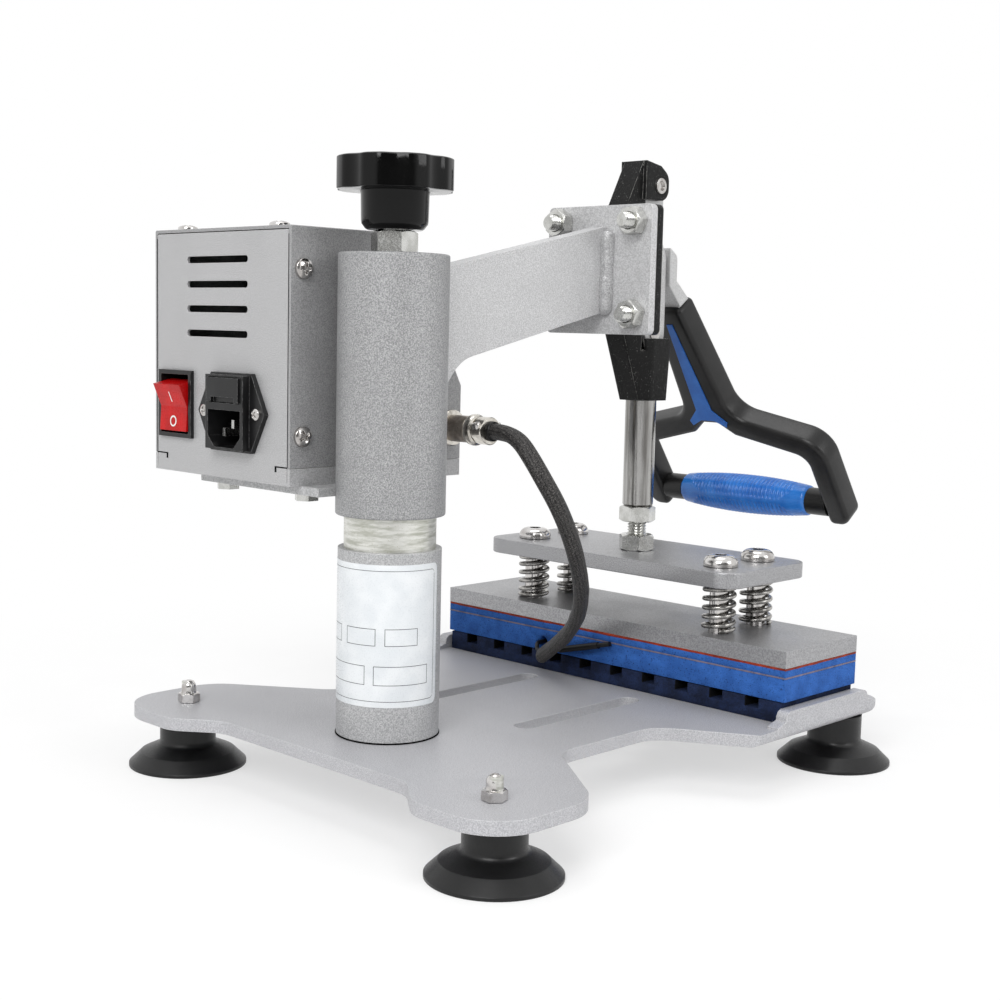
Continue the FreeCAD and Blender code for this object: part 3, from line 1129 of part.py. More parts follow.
def cover_screws():
    """Pan-head screws: two in each side and two in the roof."""
    screws = []
    for level in ("side_screw_low", "side_screw_high"):
        for side in (-1, 1):
            name = "cover_screw%d" % len(screws)
            wall = "box_left" if side < 0 else "box_right"
            shank = wall if side < 0 else "box_right - cover_screw_length"
            crown = "box_left - cover_screw_head_height" if side < 0 else "box_right"
            screw = disc(name, "YZ", shank, "cover_screw_length", "cover_screw_radius", "side_screw_back", level)
            add_disc(screw, "YZ", crown, "cover_screw_head_height", "cover_screw_head", "side_screw_back", level)
            face = wall + (" - " if side < 0 else " + ") + "cover_screw_head_height"
            soften(screw, "cover_screw_head_height - 0.6", ring_at(face, "cover_screw_head", 0))
            screws.append(screw)
    for sign in ("-", "+"):
        across = "box_middle %s top_screw_spread" % sign
        screw = disc("cover_screw%d" % len(screws), "XY", "box_top - cover_screw_length", "cover_screw_length",
                     "cover_screw_radius", across, "side_screw_back")
        add_disc(screw, "XY", "box_top", "cover_screw_head_height", "cover_screw_head", across,
                 "side_screw_back")
        soften(screw, "cover_screw_head_height - 0.6",
               ring_at("box_top + cover_screw_head_height", "cover_screw_head"))
        screws.append(screw)
    return screws


def inlet_screws():
    """The two small screws of the inlet's flange."""
    screws = []
    for number, sign in enumerate(("", "-")):
        across = sign + "inlet_screw_spread"
        seat = "-(box_back + flange_proud)"
        screw = disc("inlet_screw%d" % number, "XZ", seat + " - 0.01", "flange_proud + 6",
                     "inlet_screw_radius", across)
        add_disc(screw, "XZ", seat + " - inlet_screw_head_height", "inlet_screw_head_height",
                 "inlet_screw_head", across)
        screws.append(place(screw, "inlet_x", "0", "inlet_level"))
    return screws


def bracket_spots():
    """The four places of the bracket's bolts."""
    return [(across, sign + "bracket_bolt_offset") for across in ("bracket_bolt_near", "bracket_bolt_far")
            for sign in ("", "-")]


def bracket():
    """A flat bracket welded to the sleeve carries the box; four bolts pass through both."""
    spots = bracket_spots()
    level = "box_bottom - bracket_thickness"
    body = slab("bracket_body", "XY", rectangle("bracket_start", "bracket_end", "-bracket_reach", "bracket_back"),
                level, "bracket_thickness",
                [(across, back, "bracket_bolt_radius + bolt_gap") for across, back in spots])
    soften(body, "mount_corner", edge_through([("bracket_end", "-bracket_reach"),
                                               ("bracket_end", "bracket_back")], 2))
    cut_round(body, "XY", [("0", "0", "sleeve_radius + press_gap")], "box_bottom + 1", "bracket_thickness + 2")
    finish("box_bracket", body)
    bolts = []
    nuts = []
    for number, (across, back) in enumerate(spots):
        bolt = disc("bracket_bolt%d" % number, "XY", level + " - 1", "bracket_thickness + sheet_thickness + 6.5",
                    "bracket_bolt_radius", across, back)
        add_slab(bolt, "XY", hexagon("bracket_head_flats", across, back), level + " - bracket_head_height",
                 "bracket_head_height")
        bolts.append(bolt)
        nuts.append(slab("bracket_nut%d" % number, "XY", hexagon("bracket_head_flats", across, back),
                         "box_bottom + sheet_thickness", "bracket_head_height + 0.5",
                         [(across, back, "bracket_bolt_radius + thread_gap")]))
    together("bracket_bolts", bolts + nuts)


def rocker_switch():
    """The switch: a hollow bezel housing and the rocker that tips in it."""
    wide = "bezel_width/2"
    tall = "bezel_height/2"
    body = slab("bezel_body", "XZ", rectangle("-" + wide, wide, "-" + tall, tall), "-(box_back + bezel_proud)",
                "bezel_proud")
    inner_wide = "(bezel_width/2 - bezel_rim)"
    inner_tall = "(bezel_height/2 - bezel_rim)"
    add_slab(body, "XZ", rectangle("-%s - switch_skin" % inner_wide, inner_wide + " + switch_skin",
                                   "-%s - switch_skin" % inner_tall, inner_tall + " + switch_skin"),
             "-box_back", "switch_depth")
    hollow = new_sketch(body, "XZ", "-(box_back + bezel_proud)")
    add_outline(hollow, rectangle("-" + inner_wide, inner_wide, "-" + inner_tall, inner_tall))
    pocket(body, hollow, "bezel_proud + switch_depth - 2", forward=True)
    reach = "(rocker_gap + rocker_pin_bite)"
    for start in ("-%s - 0.5" % inner_wide, "%s - %s" % (inner_wide, reach)):
        add_disc(body, "YZ", start, reach + " + 0.5", "rocker_pin_radius - pin_gap", "rocker_pivot_back")
    finish("rocker_bezel", body, "rocker_x", "0", "rocker_level")
    half = "(bezel_width/2 - bezel_rim - rocker_gap)"
    profile = [("-5", "-5"), ("0", "-rocker_root_half"), ("rocker_tip", "-rocker_tip_half"),
               ("rocker_waist", "0"), ("rocker_tip", "rocker_tip_half"), ("0", "rocker_root_half"),
               ("-5", "5")]
    paddle = slab("paddle", "YZ", profile, "-" + half, "2*" + half)
    cut_round(paddle, "YZ", [("0", "0", "rocker_pin_radius")], half + " + 1", "2*%s + 2" % half)
    finish("power_rocker", paddle, "rocker_x", "rocker_pivot_back", "rocker_level", "-rocker_tilt")


def inlet():
    """The mains inlet: hexagonal flange, raised body with the socket's mouth, blades and fuse drawer."""
    flange = [("inlet_half_width", "0"), ("inlet_shoulder_half", "inlet_half_height"),
              ("-inlet_shoulder_half", "inlet_half_height"), ("-inlet_half_width", "0"),
              ("-inlet_shoulder_half", "-inlet_half_height"), ("inlet_shoulder_half", "-inlet_half_height")]
    holes = [(sign + "inlet_screw_spread", "0", "inlet_screw_radius + 0.1") for sign in ("", "-")]
    body = slab("inlet_shell", "XZ", flange, "-(box_back + flange_proud)", "flange_proud", holes)
    block = rectangle("-(inlet_shoulder_half - 1)", "inlet_shoulder_half - 1", "-(inlet_half_height - 1)",
                      "inlet_half_height - 1")
    add_slab(body, "XZ", block, "-inlet_front", "inlet_proud + inlet_depth")
    low = "-mouth_drop - mouth_height/2"
    high = "-mouth_drop + mouth_height/2"
    mouth = [("-(mouth_width/2 - mouth_chamfer)", low), ("mouth_width/2 - mouth_chamfer", low),
             ("mouth_width/2", low + " + mouth_chamfer"), ("mouth_width/2", high), ("-mouth_width/2", high),
             ("-mouth_width/2", low + " + mouth_chamfer")]
    cut = new_sketch(body, "XZ", "-inlet_front")
    add_outline(cut, mouth)
    pocket(body, cut, "mouth_depth", forward=True)
    slide = new_sketch(body, "XZ", "-inlet_front")
    add_outline(slide, rectangle("-drawer_width/2 - drawer_gap", "drawer_width/2 + drawer_gap",
                                 "drawer_lift - drawer_height/2 - drawer_gap",
                                 "drawer_lift + drawer_height/2 + drawer_gap"))
    pocket(body, slide, "drawer_depth + drawer_gap", forward=True)
    finish("mains_inlet", body, "inlet_x", "0", "inlet_level")
    inlet_details()


def inlet_details():
    """Three blades at the mouth's floor and the fuse drawer above it."""
    blades = []
    spots = (("-blade_spread", "-mouth_drop - 2"), ("blade_spread", "-mouth_drop - 2"),
             ("0", "-mouth_drop - 2 + blade_lift + 1"))
    floor = "inlet_front - mouth_depth"
    for number, (across, up) in enumerate(spots):
        outline = rectangle(across + " - blade_width/2", across + " + blade_width/2",
                            up + " - blade_height/2", up + " + blade_height/2")
        blades.append(place(slab("blade%d" % number, "XZ", outline, "-blade_back", "blade_back - (%s)" % floor),
                            "inlet_x", "0", "inlet_level"))
    together("inlet_blades", blades)
    outline = rectangle("-drawer_width/2", "drawer_width/2", "drawer_lift - drawer_height/2",
                        "drawer_lift + drawer_height/2")
    drawer = slab("drawer_body", "XZ", outline, "-inlet_front - drawer_proud", "drawer_depth + drawer_proud - 0.3")
    grab = rectangle("-drawer_width/2 + 3", "drawer_width/2 - 3", "drawer_lift - drawer_height/2 - 0.1",
                     "drawer_lift - drawer_height/2 + drawer_lip")
    cut = new_sketch(drawer, "XZ", "-inlet_front - drawer_proud")
    add_outline(cut, grab)
    pocket(drawer, cut, "drawer_proud + 0.8", forward=True)
    finish("fuse_drawer", drawer, "inlet_x", "0", "inlet_level")


def front_panel():
    """On the leaning panel: overlay, display window and three buttons, with the boards behind."""
    spots = [("%d*button_pitch" % step, "button_lift", "button_radius + button_gap") for step in (-1, 0, 1)]
    lean = {"across": "box_middle", "back": "-box_front_reach", "up": "knee_level",
            "angle": "90 deg - panel_tilt"}
    overlay = slab("overlay_body", "XY", rectangle("-overlay_width/2", "overlay_width/2",
                                                   "overlay_middle - overlay_height/2",
                                                   "overlay_middle + overlay_height/2"),
                   "0", "overlay_thickness", spots)
    finish("panel_overlay", overlay, **lean)
    window = slab("window_body", "XY", rectangle("-window_width/2", "window_width/2",
                                                 "window_lift - window_height/2",
                                                 "window_lift + window_height/2"),
                  "overlay_thickness", "window_thickness")
    finish("display_window", window, **lean)
    for node, spot in zip(("set_button", "down_button", "up_button"), spots):
        button = disc(node + "_cap", "XY", "button_proud - button_length", "button_length", "button_radius",
                      spot[0], spot[1])
        soften(button, "0.8", ring_at("button_proud", "button_radius"))
        finish(node, button, **lean)
    stand = "sheet_thickness + board_stand"
    board = slab("board_body", "XY", rectangle("-board_width/2", "board_width/2",
                                               "overlay_middle - board_height/2 - 4",
                                               "overlay_middle + board_height/2 - 4"),
                 "-(%s) - board_thickness" % stand, "board_thickness")
    for across in ("-board_width/2 + 5", "board_width/2 - 5"):
        for up in ("overlay_middle - board_height/2 + 1", "overlay_middle + board_height/2 - 9"):
            add_disc(board, "XY", "-(%s) - 0.2" % stand, "board_stand + 0.1", "stand_radius", across, up)
    add_slab(board, "XY", rectangle("-window_width/2 + 3", "window_width/2 - 3",
                                    "window_lift - window_height/2 + 3", "window_lift + window_height/2 - 3"),
             "-(%s) - 0.2" % stand, "board_stand - 1")
    finish("control_board", board, **lean)
    power_board()


def power_board():
    """The power board on the floor of the box, with its transformer and relay."""
    low = "box_bottom + sheet_thickness"
    board = slab("power_body", "XY", rectangle("-power_board_width/2", "power_board_width/2",
                                               "-power_board_depth/2", "power_board_depth/2"),
                 "power_board_stand", "board_thickness")
    for across in ("-power_board_width/2 + 5", "power_board_width/2 - 5"):
        for back in ("-power_board_depth/2 + 5", "power_board_depth/2 - 5"):
            add_disc(board, "XY", "0", "power_board_stand + 0.2", "stand_radius", across, back)
    top = "power_board_stand + board_thickness - 0.2"
    add_slab(board, "XY", rectangle("-power_board_width/2 + 8", "-power_board_width/2 + 8 + transformer_size",
                                    "-transformer_size/2 - 6", "transformer_size/2 - 6"), top, "transformer_size")
    add_slab(board, "XY", rectangle("14", "30", "-24", "-4"), top, "16")
    finish("power_board", board, "box_middle", "-30", low)


def cable_socket():
    """The panel socket, its ring nut and the plug with its knurled ring on the box's left cheek."""
    seat = {"back": "-socket_reach", "up": "socket_level"}
    socket = disc("socket_body", "YZ", "box_left - socket_nut_height - 0.3",
                  "socket_inside + sheet_thickness + socket_nut_height + 0.3", "socket_thread_radius")
    add_disc(socket, "YZ", "box_left - socket_nut_height", "socket_nut_height", "socket_nut_radius")
    add_slab(socket, "YZ", hexagon("2*socket_nut_radius - 3"), "box_left + sheet_thickness + 0.05", "3")
    finish("cable_socket", socket, **seat)
    start = "box_left - socket_nut_height - 0.3"
    plug = disc("plug_body", "YZ", start + " - plug_barrel_length", "plug_barrel_length", "plug_barrel_radius")
    ring = start + " - plug_barrel_length - plug_ring_length"
    add_disc(plug, "YZ", ring, "plug_ring_length + 0.01", "plug_ring_radius")
    add_disc(plug, "YZ", ring + " - plug_tail_length", "plug_tail_length + 0.01", "plug_tail_radius")
    soften(plug, "edge_break", ring_at(ring, "plug_ring_radius", 0))
    finish("cable_plug", plug, **seat)


# ---------------------------------------------------------------- build and write

def check_and_write():
    """Refuse a failed object or an invalid shape, then write one file for each node."""
    DOC.recompute()
    for thing in DOC.Objects:
        if "Invalid" in thing.State or "Error" in thing.State:
            raise ValueError("%s failed: %s" % (thing.Label, thing.State))
    os.makedirs("parts", exist_ok=True)
    for thing in NODES:
        if thing.Shape.isNull() or not thing.Shape.isValid():
            raise ValueError("%s has no valid shape" % thing.Label)
        thing.Shape.exportStep("parts/%s.step" % thing.Label)
        print("%s: %d solids, %.0f mm3" % (thing.Label, len(thing.Shape.Solids), thing.Shape.Volume))
    print("%d nodes" % len(NODES))


def main():
    fill_sheet()
    feet()
    base_plate()
    column()
    lower_pad()
    pressure_screw()
    arm()
    lever()
    plunger()
    handle()
    spring_plate()
    guide_screws()
    springs()
    platen()
    cable()
    control_box()
    check_and_write()


main()
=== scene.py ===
import math

import bmesh
import bpy
import numpy as np
from mathutils import Matrix, Vector, noise
from mathutils.bvhtree import BVHTree


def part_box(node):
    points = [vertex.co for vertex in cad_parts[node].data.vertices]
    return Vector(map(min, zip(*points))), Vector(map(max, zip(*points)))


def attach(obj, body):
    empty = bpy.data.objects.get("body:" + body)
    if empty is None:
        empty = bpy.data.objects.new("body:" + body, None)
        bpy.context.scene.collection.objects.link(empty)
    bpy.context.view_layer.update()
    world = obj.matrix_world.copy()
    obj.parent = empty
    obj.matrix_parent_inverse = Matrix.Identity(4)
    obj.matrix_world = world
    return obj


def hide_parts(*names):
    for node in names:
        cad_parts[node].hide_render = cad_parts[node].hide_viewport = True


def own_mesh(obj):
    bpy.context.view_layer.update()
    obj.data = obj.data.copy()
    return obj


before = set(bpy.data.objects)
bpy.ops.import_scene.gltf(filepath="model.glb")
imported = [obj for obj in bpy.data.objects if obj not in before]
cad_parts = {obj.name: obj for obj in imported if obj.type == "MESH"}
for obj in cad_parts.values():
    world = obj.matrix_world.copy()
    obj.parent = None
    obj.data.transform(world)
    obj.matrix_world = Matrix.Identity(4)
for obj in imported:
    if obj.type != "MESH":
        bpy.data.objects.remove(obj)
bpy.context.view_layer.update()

# The press in metres: +X right, -Y to the user, +Z up. at() takes millimetres from the column's axis.
MM = 0.001
LOW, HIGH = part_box("column_shaft")
COLUMN = Vector(((LOW.x + HIGH.x) / 2, (LOW.y + HIGH.y) / 2, 0))
UP, BACK = (0, 0, 1), (0, 1, 0)
TAU = math.tau


def at(x, y, z):
    return COLUMN + Vector((x, y, z)) * MM


def extent(node):
    """A node's low and high corners and its middle, in mm from the column's axis."""
    low, high = ((corner - COLUMN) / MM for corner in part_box(node))
    return low, high, [(a + b) / 2 for a, b in zip(low, high)]


def foot(node, y=0):
    """The foot of a node, on the column's axis or in front of it."""
    return at(0, y, extent(node)[0].z)


def placed(name, data):
    """A new object in the scene."""
    thing = bpy.data.objects.new(name, data)
    bpy.context.scene.collection.objects.link(thing)
    return thing


# ---- camera

def view(azimuth, pitch, roll, focal, place):
    """A camera that looks along an azimuth, from -Y towards +X. focal is in picture widths."""
    a, p, r = (math.radians(angle) for angle in (azimuth, pitch, roll))
    ahead = Vector((math.sin(a) * math.cos(p), -math.cos(a) * math.cos(p), -math.sin(p)))
    right = ahead.cross(Vector(UP)).normalized()
    up = right.cross(ahead)
    turned_right = right * math.cos(r) + up * math.sin(r)
    turned_up = up * math.cos(r) - right * math.sin(r)
    data = bpy.data.cameras.new("camera")
    data.sensor_width = 36
    data.lens = focal * data.sensor_width
    data.clip_start = 0.01
    camera = placed("camera", data)
    camera.matrix_world = Matrix.Translation(place) @ Matrix((turned_right, turned_up, -ahead)).transposed().to_4x4()
    bpy.context.scene.camera = camera


view(azimuth=44.09, pitch=6.49, roll=1.33, focal=1.52997, place=at(-515.03, 460.4, 217.68))


# ---- materials

def linear(tone):
    """A shader's colour from display levels, 0 to 255, or from one level of grey."""
    levels = (tone, tone, tone) if isinstance(tone, int) else tone
    return tuple(((c / 255 + 0.055) / 1.055) ** 2.4 if c > 10 else c / 255 / 12.92 for c in levels) + (1,)


class Nodes:
    """A few words for building a node tree."""

    def __init__(self, tree):
        self.tree = tree

    def add(self, kind, sockets=None, **properties):
        node = self.tree.nodes.new(kind)
        for name, setting in properties.items():
            setattr(node, name, setting)
        for name, setting in (sockets or {}).items():
            self.join(setting, node.inputs[name])
        return node

    def join(self, setting, socket):
        if isinstance(setting, bpy.types.NodeSocket):
            self.tree.links.new(setting, socket)
        else:
            socket.default_value = setting

    def math(self, operation, a, b=0.0):
        return self.add("ShaderNodeMath", {0: a, 1: b}, operation=operation).outputs[0]

    def times(self, a, b):
        return self.math("MULTIPLY", a, b)

    def mix(self, factor, a, b):
        return self.add("ShaderNodeMix", {0: factor, 6: a, 7: b}, data_type="RGBA").outputs[2]

    def ramp(self, factor, low, high, a=0.0, b=1.0):
        return self.add("ShaderNodeMapRange", {0: factor, 1: low, 2: high, 3: a, 4: b},
                        interpolation_type="SMOOTHSTEP").outputs[0]


class Finish(Nodes):
    """A material: a ground of two tones, others over it, then gloss and relief."""

    def __init__(self, name, **settings):
        self.material = bpy.data.materials.new(name)
        self.material.use_nodes = True
        super().__init__(self.material.node_tree)
        self.shader = self.tree.nodes["Principled BSDF"]
        self.place = self.add("ShaderNodeTexCoord").outputs["Object"]
        for socket, setting in settings.items():
            self.set(socket.replace("_", " "), setting)

    def set(self, name, setting):
        self.join(setting, self.shader.inputs[name])

    def noise(self, size, detail=2.0, rough=0.5, stretch=None):
        """Noise whose blobs are about that many millimetres across."""
        place = self.place
        if stretch:
            place = self.add("ShaderNodeMapping", {0: place, "Scale": stretch}).outputs[0]
        return self.add("ShaderNodeTexNoise", {"Vector": place, "Scale": 1 / (size * MM), "Detail": detail,
                                               "Roughness": rough}).outputs["Fac"]

    def cells(self, size, feature="F1"):
        return self.add("ShaderNodeTexVoronoi", {"Vector": self.place, "Scale": 1 / (size * MM)},
                        feature=feature).outputs["Distance"]

    def edges(self, radius):
        """Rounded-edge normal, and a mask that is 1 along sharp edges."""
        soft = self.add("ShaderNodeBevel", {"Radius": radius * MM}, samples=6).outputs[0]
        flat = self.add("ShaderNodeNewGeometry").outputs["Normal"]
        along = self.add("ShaderNodeVectorMath", {0: soft, 1: flat}, operation="DOT_PRODUCT").outputs["Value"]
        return soft, self.ramp(along, 0.97, 0.80)

    def ground(self, factor, low, high, first, last):
        """The ground colour, from a first tone to a last one."""
        self.colour = self.mix(self.ramp(factor, low, high), linear(first), linear(last))

    def over(self, mask, share, tone):
        """Lay a tone over the colour where a mask is high."""
        self.colour = self.mix(self.times(mask, share), self.colour, linear(tone))

    def done(self, rough, height, depth, strength, normal=None):
        """Join the colour, the roughness, and a relief in mm over an optional normal."""
        self.set("Base Color", self.colour)
        self.set("Roughness", rough)
        bump = self.add("ShaderNodeBump", {"Strength": strength, "Distance": depth * MM, "Height": height})
        if normal is not None:
            self.join(normal, bump.inputs["Normal"])
        self.set("Normal", bump.outputs[0])
        return self.material


STAIN = (74.80987, 69.28344, 59.87275)


def hammertone(name, light, dark, worn, relief, grain=1.0, metal=0.3, rough=0.46, bevel=0.5):
    """Silver hammered enamel: dimples, a fine painted glint of pale specks, rubbed edges and faint grime."""
    f = Finish(name, Metallic=metal)
    soft, edge = f.edges(bevel)
    dimple = f.cells(1.1 * grain, "SMOOTH_F1")
    fine = f.noise(0.3 * grain, 3)
    broad = f.noise(30, 3)
    speck = f.noise(0.62 * grain, 2, 0.6)
    glint = f.noise(0.5 * grain, 1, 0.5)
    f.ground(speck, 0.37, 0.63, dark, light)
    # painted glint: pale specks in the worn tone stand for the paint's sparkle
    f.over(f.ramp(glint, 0.6, 0.68), 0.35, worn)
    f.over(f.ramp(broad, 0.45, 0.75), 0.22, dark)
    f.over(edge, 0.6, worn)
    height = f.math("ADD", dimple, f.times(fine, 0.4))
    return f.done(f.ramp(fine, 0.2, 0.8, rough - 0.06, rough + 0.1), height, relief, 1.0, soft)


def bright_metal(name, light, dark, rough, stain=0.2, pits=0.0, metal=1.0, bevel=0.12, spot=STAIN, streak=None):
    """Bare or plated steel with drifting tone, small stains and rounded edges."""
    f = Finish(name, Metallic=metal)
    soft, edge = f.edges(bevel)
    drift = f.noise(3 if streak else 6, 4, 0.6, streak)
    fleck = f.noise(0.7, 3, 0.7)
    pit = f.noise(1.6, 4, 0.75)
    f.ground(drift, 0.35, 0.7, light, dark)
    f.over(f.ramp(fleck, 0.58, 0.74), stain, spot)
    f.over(f.ramp(pit, 0.70, 0.76), min(stain * 2.4, 0.9), spot)
    f.over(edge, 0.4, (238, 238, 236))
    return f.done(f.ramp(fleck, 0.3, 0.75, rough, rough + 0.14), f.noise(0.5, 3), 0.015 + pits, 0.6, soft)


def ground_plate(name, light, dark):
    """Bead-blasted plate: even grain, faint smears and paler edges."""
    f = Finish(name, Metallic=0.75)
    soft, edge = f.edges(0.3)
    grain = f.noise(0.6, 3, 0.7)
    smear = f.noise(22, 3, 0.5)
    f.ground(grain, 0.38, 0.62, dark, light)
    f.over(f.ramp(smear, 0.5, 0.72), 0.08, dark)
    f.over(edge, 0.5, 226)
    return f.done(f.ramp(smear, 0.35, 0.7, 0.38, 0.43), grain, 0.02, 0.7, soft)


def plastic(name, light, dark, rough, relief=0.02, grain=0.5, coat=0.0, edge_rub_and_highlight=None, bevel=0.35, shine=0.5,
            rub_and_highlight_band=(0.5, 0.64)):
    """Moulded plastic with a fine texture, and a pale edge tone that is partly rubbing and partly painted highlight.
    """
    f = Finish(name, Specular_IOR_Level=shine)
    soft, edge = f.edges(bevel)
    fine = f.noise(grain, 3)
    f.ground(f.noise(11, 3), 0.35, 0.7, dark, light)
    if edge_rub_and_highlight:
        # pale edge tone: rubbing, and on the black moulding a painted highlight
        f.over(edge, f.ramp(f.noise(2.2, 4, 0.7), *rub_and_highlight_band), edge_rub_and_highlight)
    if coat:
        f.set("Coat Weight", coat)
        f.set("Coat Roughness", 0.08)
    return f.done(f.ramp(fine, 0.3, 0.75, rough - 0.05, rough + 0.1), fine, relief, 0.8, soft)


def casting(name):
    """Sand-cast iron under thick black paint: coarse relief, pale specks painted as glints, and rubbed edges."""
    f = Finish(name, Specular_IOR_Level=0.16)
    soft = f.add("ShaderNodeBevel", {"Radius": 1.8 * MM}, samples=8).outputs[0]
    edge = f.edges(0.4)[1]
    lumps = f.noise(1.5, 4, 0.65)
    fine = f.noise(0.45, 3, 0.7)
    f.ground(fine, 0.35, 0.7, 7, 24)
    # painted glint: pale specks stand for the paint's sparkle
    f.over(f.ramp(f.noise(0.6, 2, 0.6), 0.66, 0.72), 0.7, (150, 150, 148))
    f.over(edge, f.ramp(f.noise(3, 3, 0.6), 0.36, 0.5), (176, 176, 172))
    return f.done(f.ramp(fine, 0.3, 0.7, 0.34, 0.5), f.math("ADD", lumps, f.times(fine, 0.5)), 0.28, 0.9, soft)


def sponge(name, light, dark, spot, pore=0.9, relief=0.35, rough=0.9, grooves=0):
    """Open-celled sponge: pores darkened as painted shade, pits, and groove walls painted dark as shade up to some
    mm from the middle.
    """
    f = Finish(name, Specular_IOR_Level=0.25)
    pores = f.cells(pore)
    grain = f.noise(0.5, 3, 0.7)
    f.ground(f.noise(9, 4, 0.6), 0.32, 0.7, dark, light)
    f.over(f.ramp(f.noise(0.8, 2, 0.6), 0.6, 0.68), 0.7, spot)
    # painted shade: the pores are darkened where the relief sinks
    f.over(f.ramp(pores, 0.22, 0.02, 0, 0.6), 1, dark)
    if grooves:
        normal = f.add("ShaderNodeNewGeometry").outputs["True Normal"]
        facing, place = (f.math("ABSOLUTE", f.add("ShaderNodeSeparateXYZ", {0: way}).outputs["X"])
                         for way in (normal, f.place))
        # painted shade: groove walls near the middle are laid near-black
        f.over(f.math("GREATER_THAN", facing, 0.5), f.math("LESS_THAN", place, grooves * MM), (4, 5, 8))
    return f.done(rough, f.math("ADD", pores, f.times(grain, 0.6)), relief, 0.9)


def dress(finish, *names):
    """Lay a finish on solids of the frame."""
    for name in names:
        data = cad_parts[name].data
        data.materials.clear()
        data.materials.append(finish)
    return finish


dress(hammertone("silver_hammertone", (192, 192, 193), (154, 155, 156), (232, 232, 231), 0.06), "lower_tube",
      "box_bracket")
# painted shade: the sleeve takes a darker copy of the tube's silver paint
dress(hammertone("sleeve_shaded_hammertone", (168, 168, 169), (130, 131, 132), (228, 228, 227), 0.06), "swing_sleeve")
# painted light: the arm and its plate take a lighter copy of the same silver paint
dress(hammertone("arm_lit_silver", (206, 206, 207), (176, 176, 177), 240, 0.05), "swing_arm", "mounting_plate")
# painted shade: the welds take a darker copy of the arm's paint, for the shade in the joints
WELD = hammertone("weld_shaded_silver", (184, 184, 185), (148, 148, 149), 250, 0.05, 1.1)
PLATE = dress(ground_plate("plate_silver", (180, 180, 182), (146, 146, 148)), "spring_plate", "press_plate")
dress(hammertone("base_silver", (196, 196, 199), (164, 164, 168), 232, 0.04, 0.8), "base_plate")
dress(hammertone("box_silver", (190, 190, 191), (158, 158, 159), 228, 0.04, 0.75), "box_chassis")
# painted shade: the box cover takes a darker copy of the box's paint, for the shade on its side by the sleeve
dress(hammertone("cover_shaded_silver", (164, 164, 165), (134, 134, 135), 224, 0.04, 0.75), "box_cover")
dress(bright_metal("plunger_steel", (176, 175, 173), (118, 116, 113), 0.14, 0.4, pits=0.01, streak=(1, 1, 0.05)),
      "plunger_rod", "height_stud", "grip_rod")
dress(bright_metal("galvanised_shaft", (226, 226, 221), (176, 177, 166), 0.3, 0.5, pits=0.05, metal=0.85,
      spot=(150, 146, 104), streak=(0.25, 0.25, 1.6)), "column_shaft", "foot_studs")
dress(hammertone("lever_grey", 206, 178, 232, 0.03, 0.8, metal=0.25, rough=0.4, bevel=1.6), "lever",
      "toggle_links")
ZINC = dress(bright_metal("zinc_plate", (212, 212, 209), (186, 186, 182), 0.17, 0.12, bevel=0.16), "jam_nut",
             "pressure_spindle", "stud_nuts", "mounting_nuts", "bracket_bolts", "acorn_nuts")
BRIGHT = dress(bright_metal("stainless", (214, 212, 210), (178, 174, 171), 0.12, 0.08), "guide_screws",
               "mounting_bolts", "box_screws", "frame_pin", "link_pin", "plunger_pin", "handle_screws")
SPRING = dress(bright_metal("spring_wire", (186, 184, 180), (120, 118, 115), 0.2, 0.25, pits=0.01, bevel=0.1),
               "springs")
NICKEL = dress(bright_metal("nickel_plate", (216, 212, 204), (170, 165, 156), 0.14, 0.12), "cable_socket",
               "cable_plug")
BARREL = bright_metal("dark_nickel", (176, 166, 156), (134, 125, 116), 0.26, 0.08)
dress(bright_metal("blade_silver", (206, 206, 204), (170, 170, 168), 0.2, 0.1), "inlet_blades")
dress(casting("black_casting"), "toggle_frame")
HANDLE = dress(plastic("handle_black", (24, 23, 23), 14, 0.36, 0.03, bevel=0.8, shine=0.4), "handle_fork",
               "grip_collars")
KNOB = dress(plastic("knob_black", 5, 2, 0.1, 0.004, 0.6, bevel=0.12, shine=0.24), "pressure_knob")
# painted highlight: the black moulding's pale edges stand for bright lines along its edges
dress(plastic("black_moulding", (27, 27, 28), (17, 17, 18), 0.34, 0.015, 0.4, edge_rub_and_highlight=128, bevel=0.4,
      shine=0.35, rub_and_highlight_band=(0.4, 0.56)), "rocker_bezel", "mains_inlet", "fuse_drawer")
RUBBER = dress(plastic("black_rubber", (16, 16, 17), (8, 8, 9), 0.36, 0.03, 0.7, bevel=0.6, shine=0.42),
               "suction_cups")
dress(plastic("soft_blue", (42, 108, 190), (32, 92, 172), 0.42, grain=0.4), "handle_inlay", "handle_grip")
dress(plastic("rocker_red", (196, 12, 14), (170, 8, 10), 0.3, 0.005, edge_rub_and_highlight=(214, 70, 70), bevel=0.3,
      shine=0.22), "power_rocker")
SEAM = plastic("seam_shadow", 6, 3, 0.8, 0.0, bevel=0.1, shine=0.1)
dress(plastic("overlay_film", (64, 70, 80), (52, 58, 68), 0.38, 0.01, 0.4), "panel_overlay")
dress(plastic("window_film", (46, 10, 12), (34, 8, 9), 0.08, 0.0, 0.6, coat=0.6), "display_window")
dress(plastic("key_grey", (92, 94, 98), (78, 80, 84), 0.4, grain=0.4), "set_button", "down_button", "up_button")
dress(plastic("board_green", (26, 92, 52), (18, 72, 40), 0.35, 0.01), "control_board", "power_board")
SHRINK = dress(plastic("shrink_black", (18, 18, 19), (11, 11, 12), 0.4, grain=0.6, shine=0.35), "heater_lead",
               "heat_probe")


# ---- mesh words

